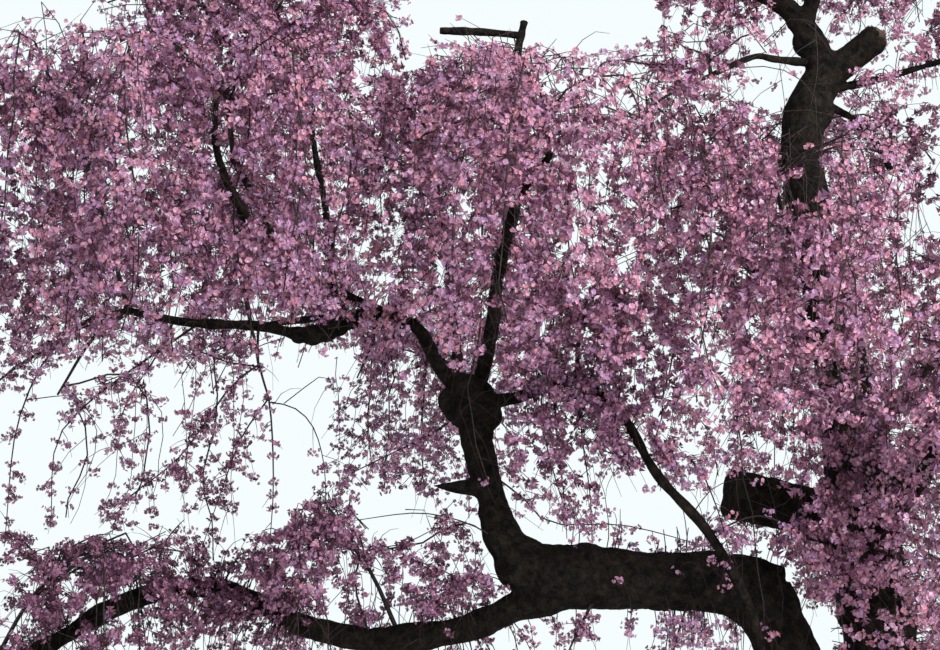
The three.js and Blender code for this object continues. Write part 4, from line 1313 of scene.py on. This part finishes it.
def make_region(region, names):
    """The blossoms and the twigs on one side of the crown"""
    chance = np.random.default_rng(len(region))
    kind = CLUSTERS.get(region, CLOSE_CLUSTERS)
    level = CLUMP_LEVELS.get(region, CLUMP_LEVEL)
    wood, flowers, inner = [], [], []

    def grow(twigs, always=False, level=level):
        places, tones, owner = blossoms_on(twigs, kind["spacing"], level, chance)
        wood.extend(twigs if always else bearing(twigs, owner, chance))
        flowers.append(umbels(places, tones, kind, chance))
        return places

    grow([twig for row in BOUGH_TWIGS[region] for twig in bough_twigs(*row, chance)])
    if region in LONG_TWIGS:
        lines, twigs = long_twigs(LONG_TWIGS[region], chance)
        grow(lines, always=True, level=NO_CLUMPS)
        grow(twigs, level=NO_CLUMPS)
    for name in names:
        index = list(MASSES).index(name)
        chance = np.random.default_rng(MASS_SEED + index)
        branches, twigs = grow_mass(index, name)
        wood.append(branches[0])
        places = np.vstack([grow(branches[1:], always=True), grow(twigs)])
        if FULLNESS.get(name, 1) >= 1:
            # The flowers deep inside a mass take the darkest pinks, as painted shade
            deep = places[inside_share(places, index) < INNER_REACH]
            inner.append(inner_flowers(np.repeat(deep, INNER_FLOWERS, axis=0), chance))
    parts = [flower_arrays(*together(flowers), PETALS, kind["stalked"], chance),
        flower_arrays(*together(inner), INNER_PETALS, 0, chance)]
    make_piece(f"{region}_blossom", BLOSSOM, names, joined(parts))
    make_piece(f"{region}_twigs", (TWIG_BARK,), names, tube_arrays(wood), smooth=True)


for region, names in REGIONS.items():
    make_region(region, names)


# The setting

# The light that the sky sheds, as a share of how bright it looks
SKY_LIGHT = 0.47
FLOOR_RADIUS = 60


def make_floor():
    """A plain pale floor"""
    mesh = bmesh.new()
    bmesh.ops.create_circle(mesh, cap_ends=True, segments=96, radius=FLOOR_RADIUS)
    data = bpy.data.meshes.new("floor")
    mesh.to_mesh(data)
    mesh.free()
    material, _ = new_material("matt_pale_floor")
    data.materials.append(finish_material(material, {"Base Color": linear("#dcdcda"),
        "Roughness": 0.9}))
    floor = bpy.data.objects.new("floor", data)
    bpy.context.scene.collection.objects.link(floor)


def make_world():
    """Soft even light from a pale sky"""
    world = bpy.data.worlds.new("pale_sky")
    world.use_nodes = True
    world.node_tree.nodes.clear()
    tree = world.node_tree
    seen, shed = (add_node(tree, "ShaderNodeBackground", {"Color": linear("#f5fdff"),
        "Strength": strength}) for strength in (1.0, SKY_LIGHT))
    ray = add_node(tree, "ShaderNodeLightPath")
    sky = add_node(tree, "ShaderNodeMixShader",
        {0: ray.outputs["Is Camera Ray"], 1: shed.outputs[0], 2: seen.outputs[0]})
    add_node(tree, "ShaderNodeOutputWorld", {"Surface": sky.outputs[0]})
    bpy.context.scene.world = world


def add_light(name, place, aim, size, power):
    """A large soft light that faces a place on the tree"""
    data = bpy.data.lights.new(name, "AREA")
    data.size = size
    data.energy = power
    light = bpy.data.objects.new(name, data)
    light.location = place
    light.rotation_euler = (Vector(aim) - Vector(place)).to_track_quat("-Z", "Y").to_euler()
    bpy.context.scene.collection.objects.link(light)


make_floor()
make_world()
add_light("key_light", place=(8, -12, 13), aim=(-1, 0, 4.5), size=8, power=2450)
add_light("fill_light", place=(5, -12, 2), aim=(1, 0, 3), size=5, power=850)
bpy.context.scene.view_settings.view_transform = "Standard"
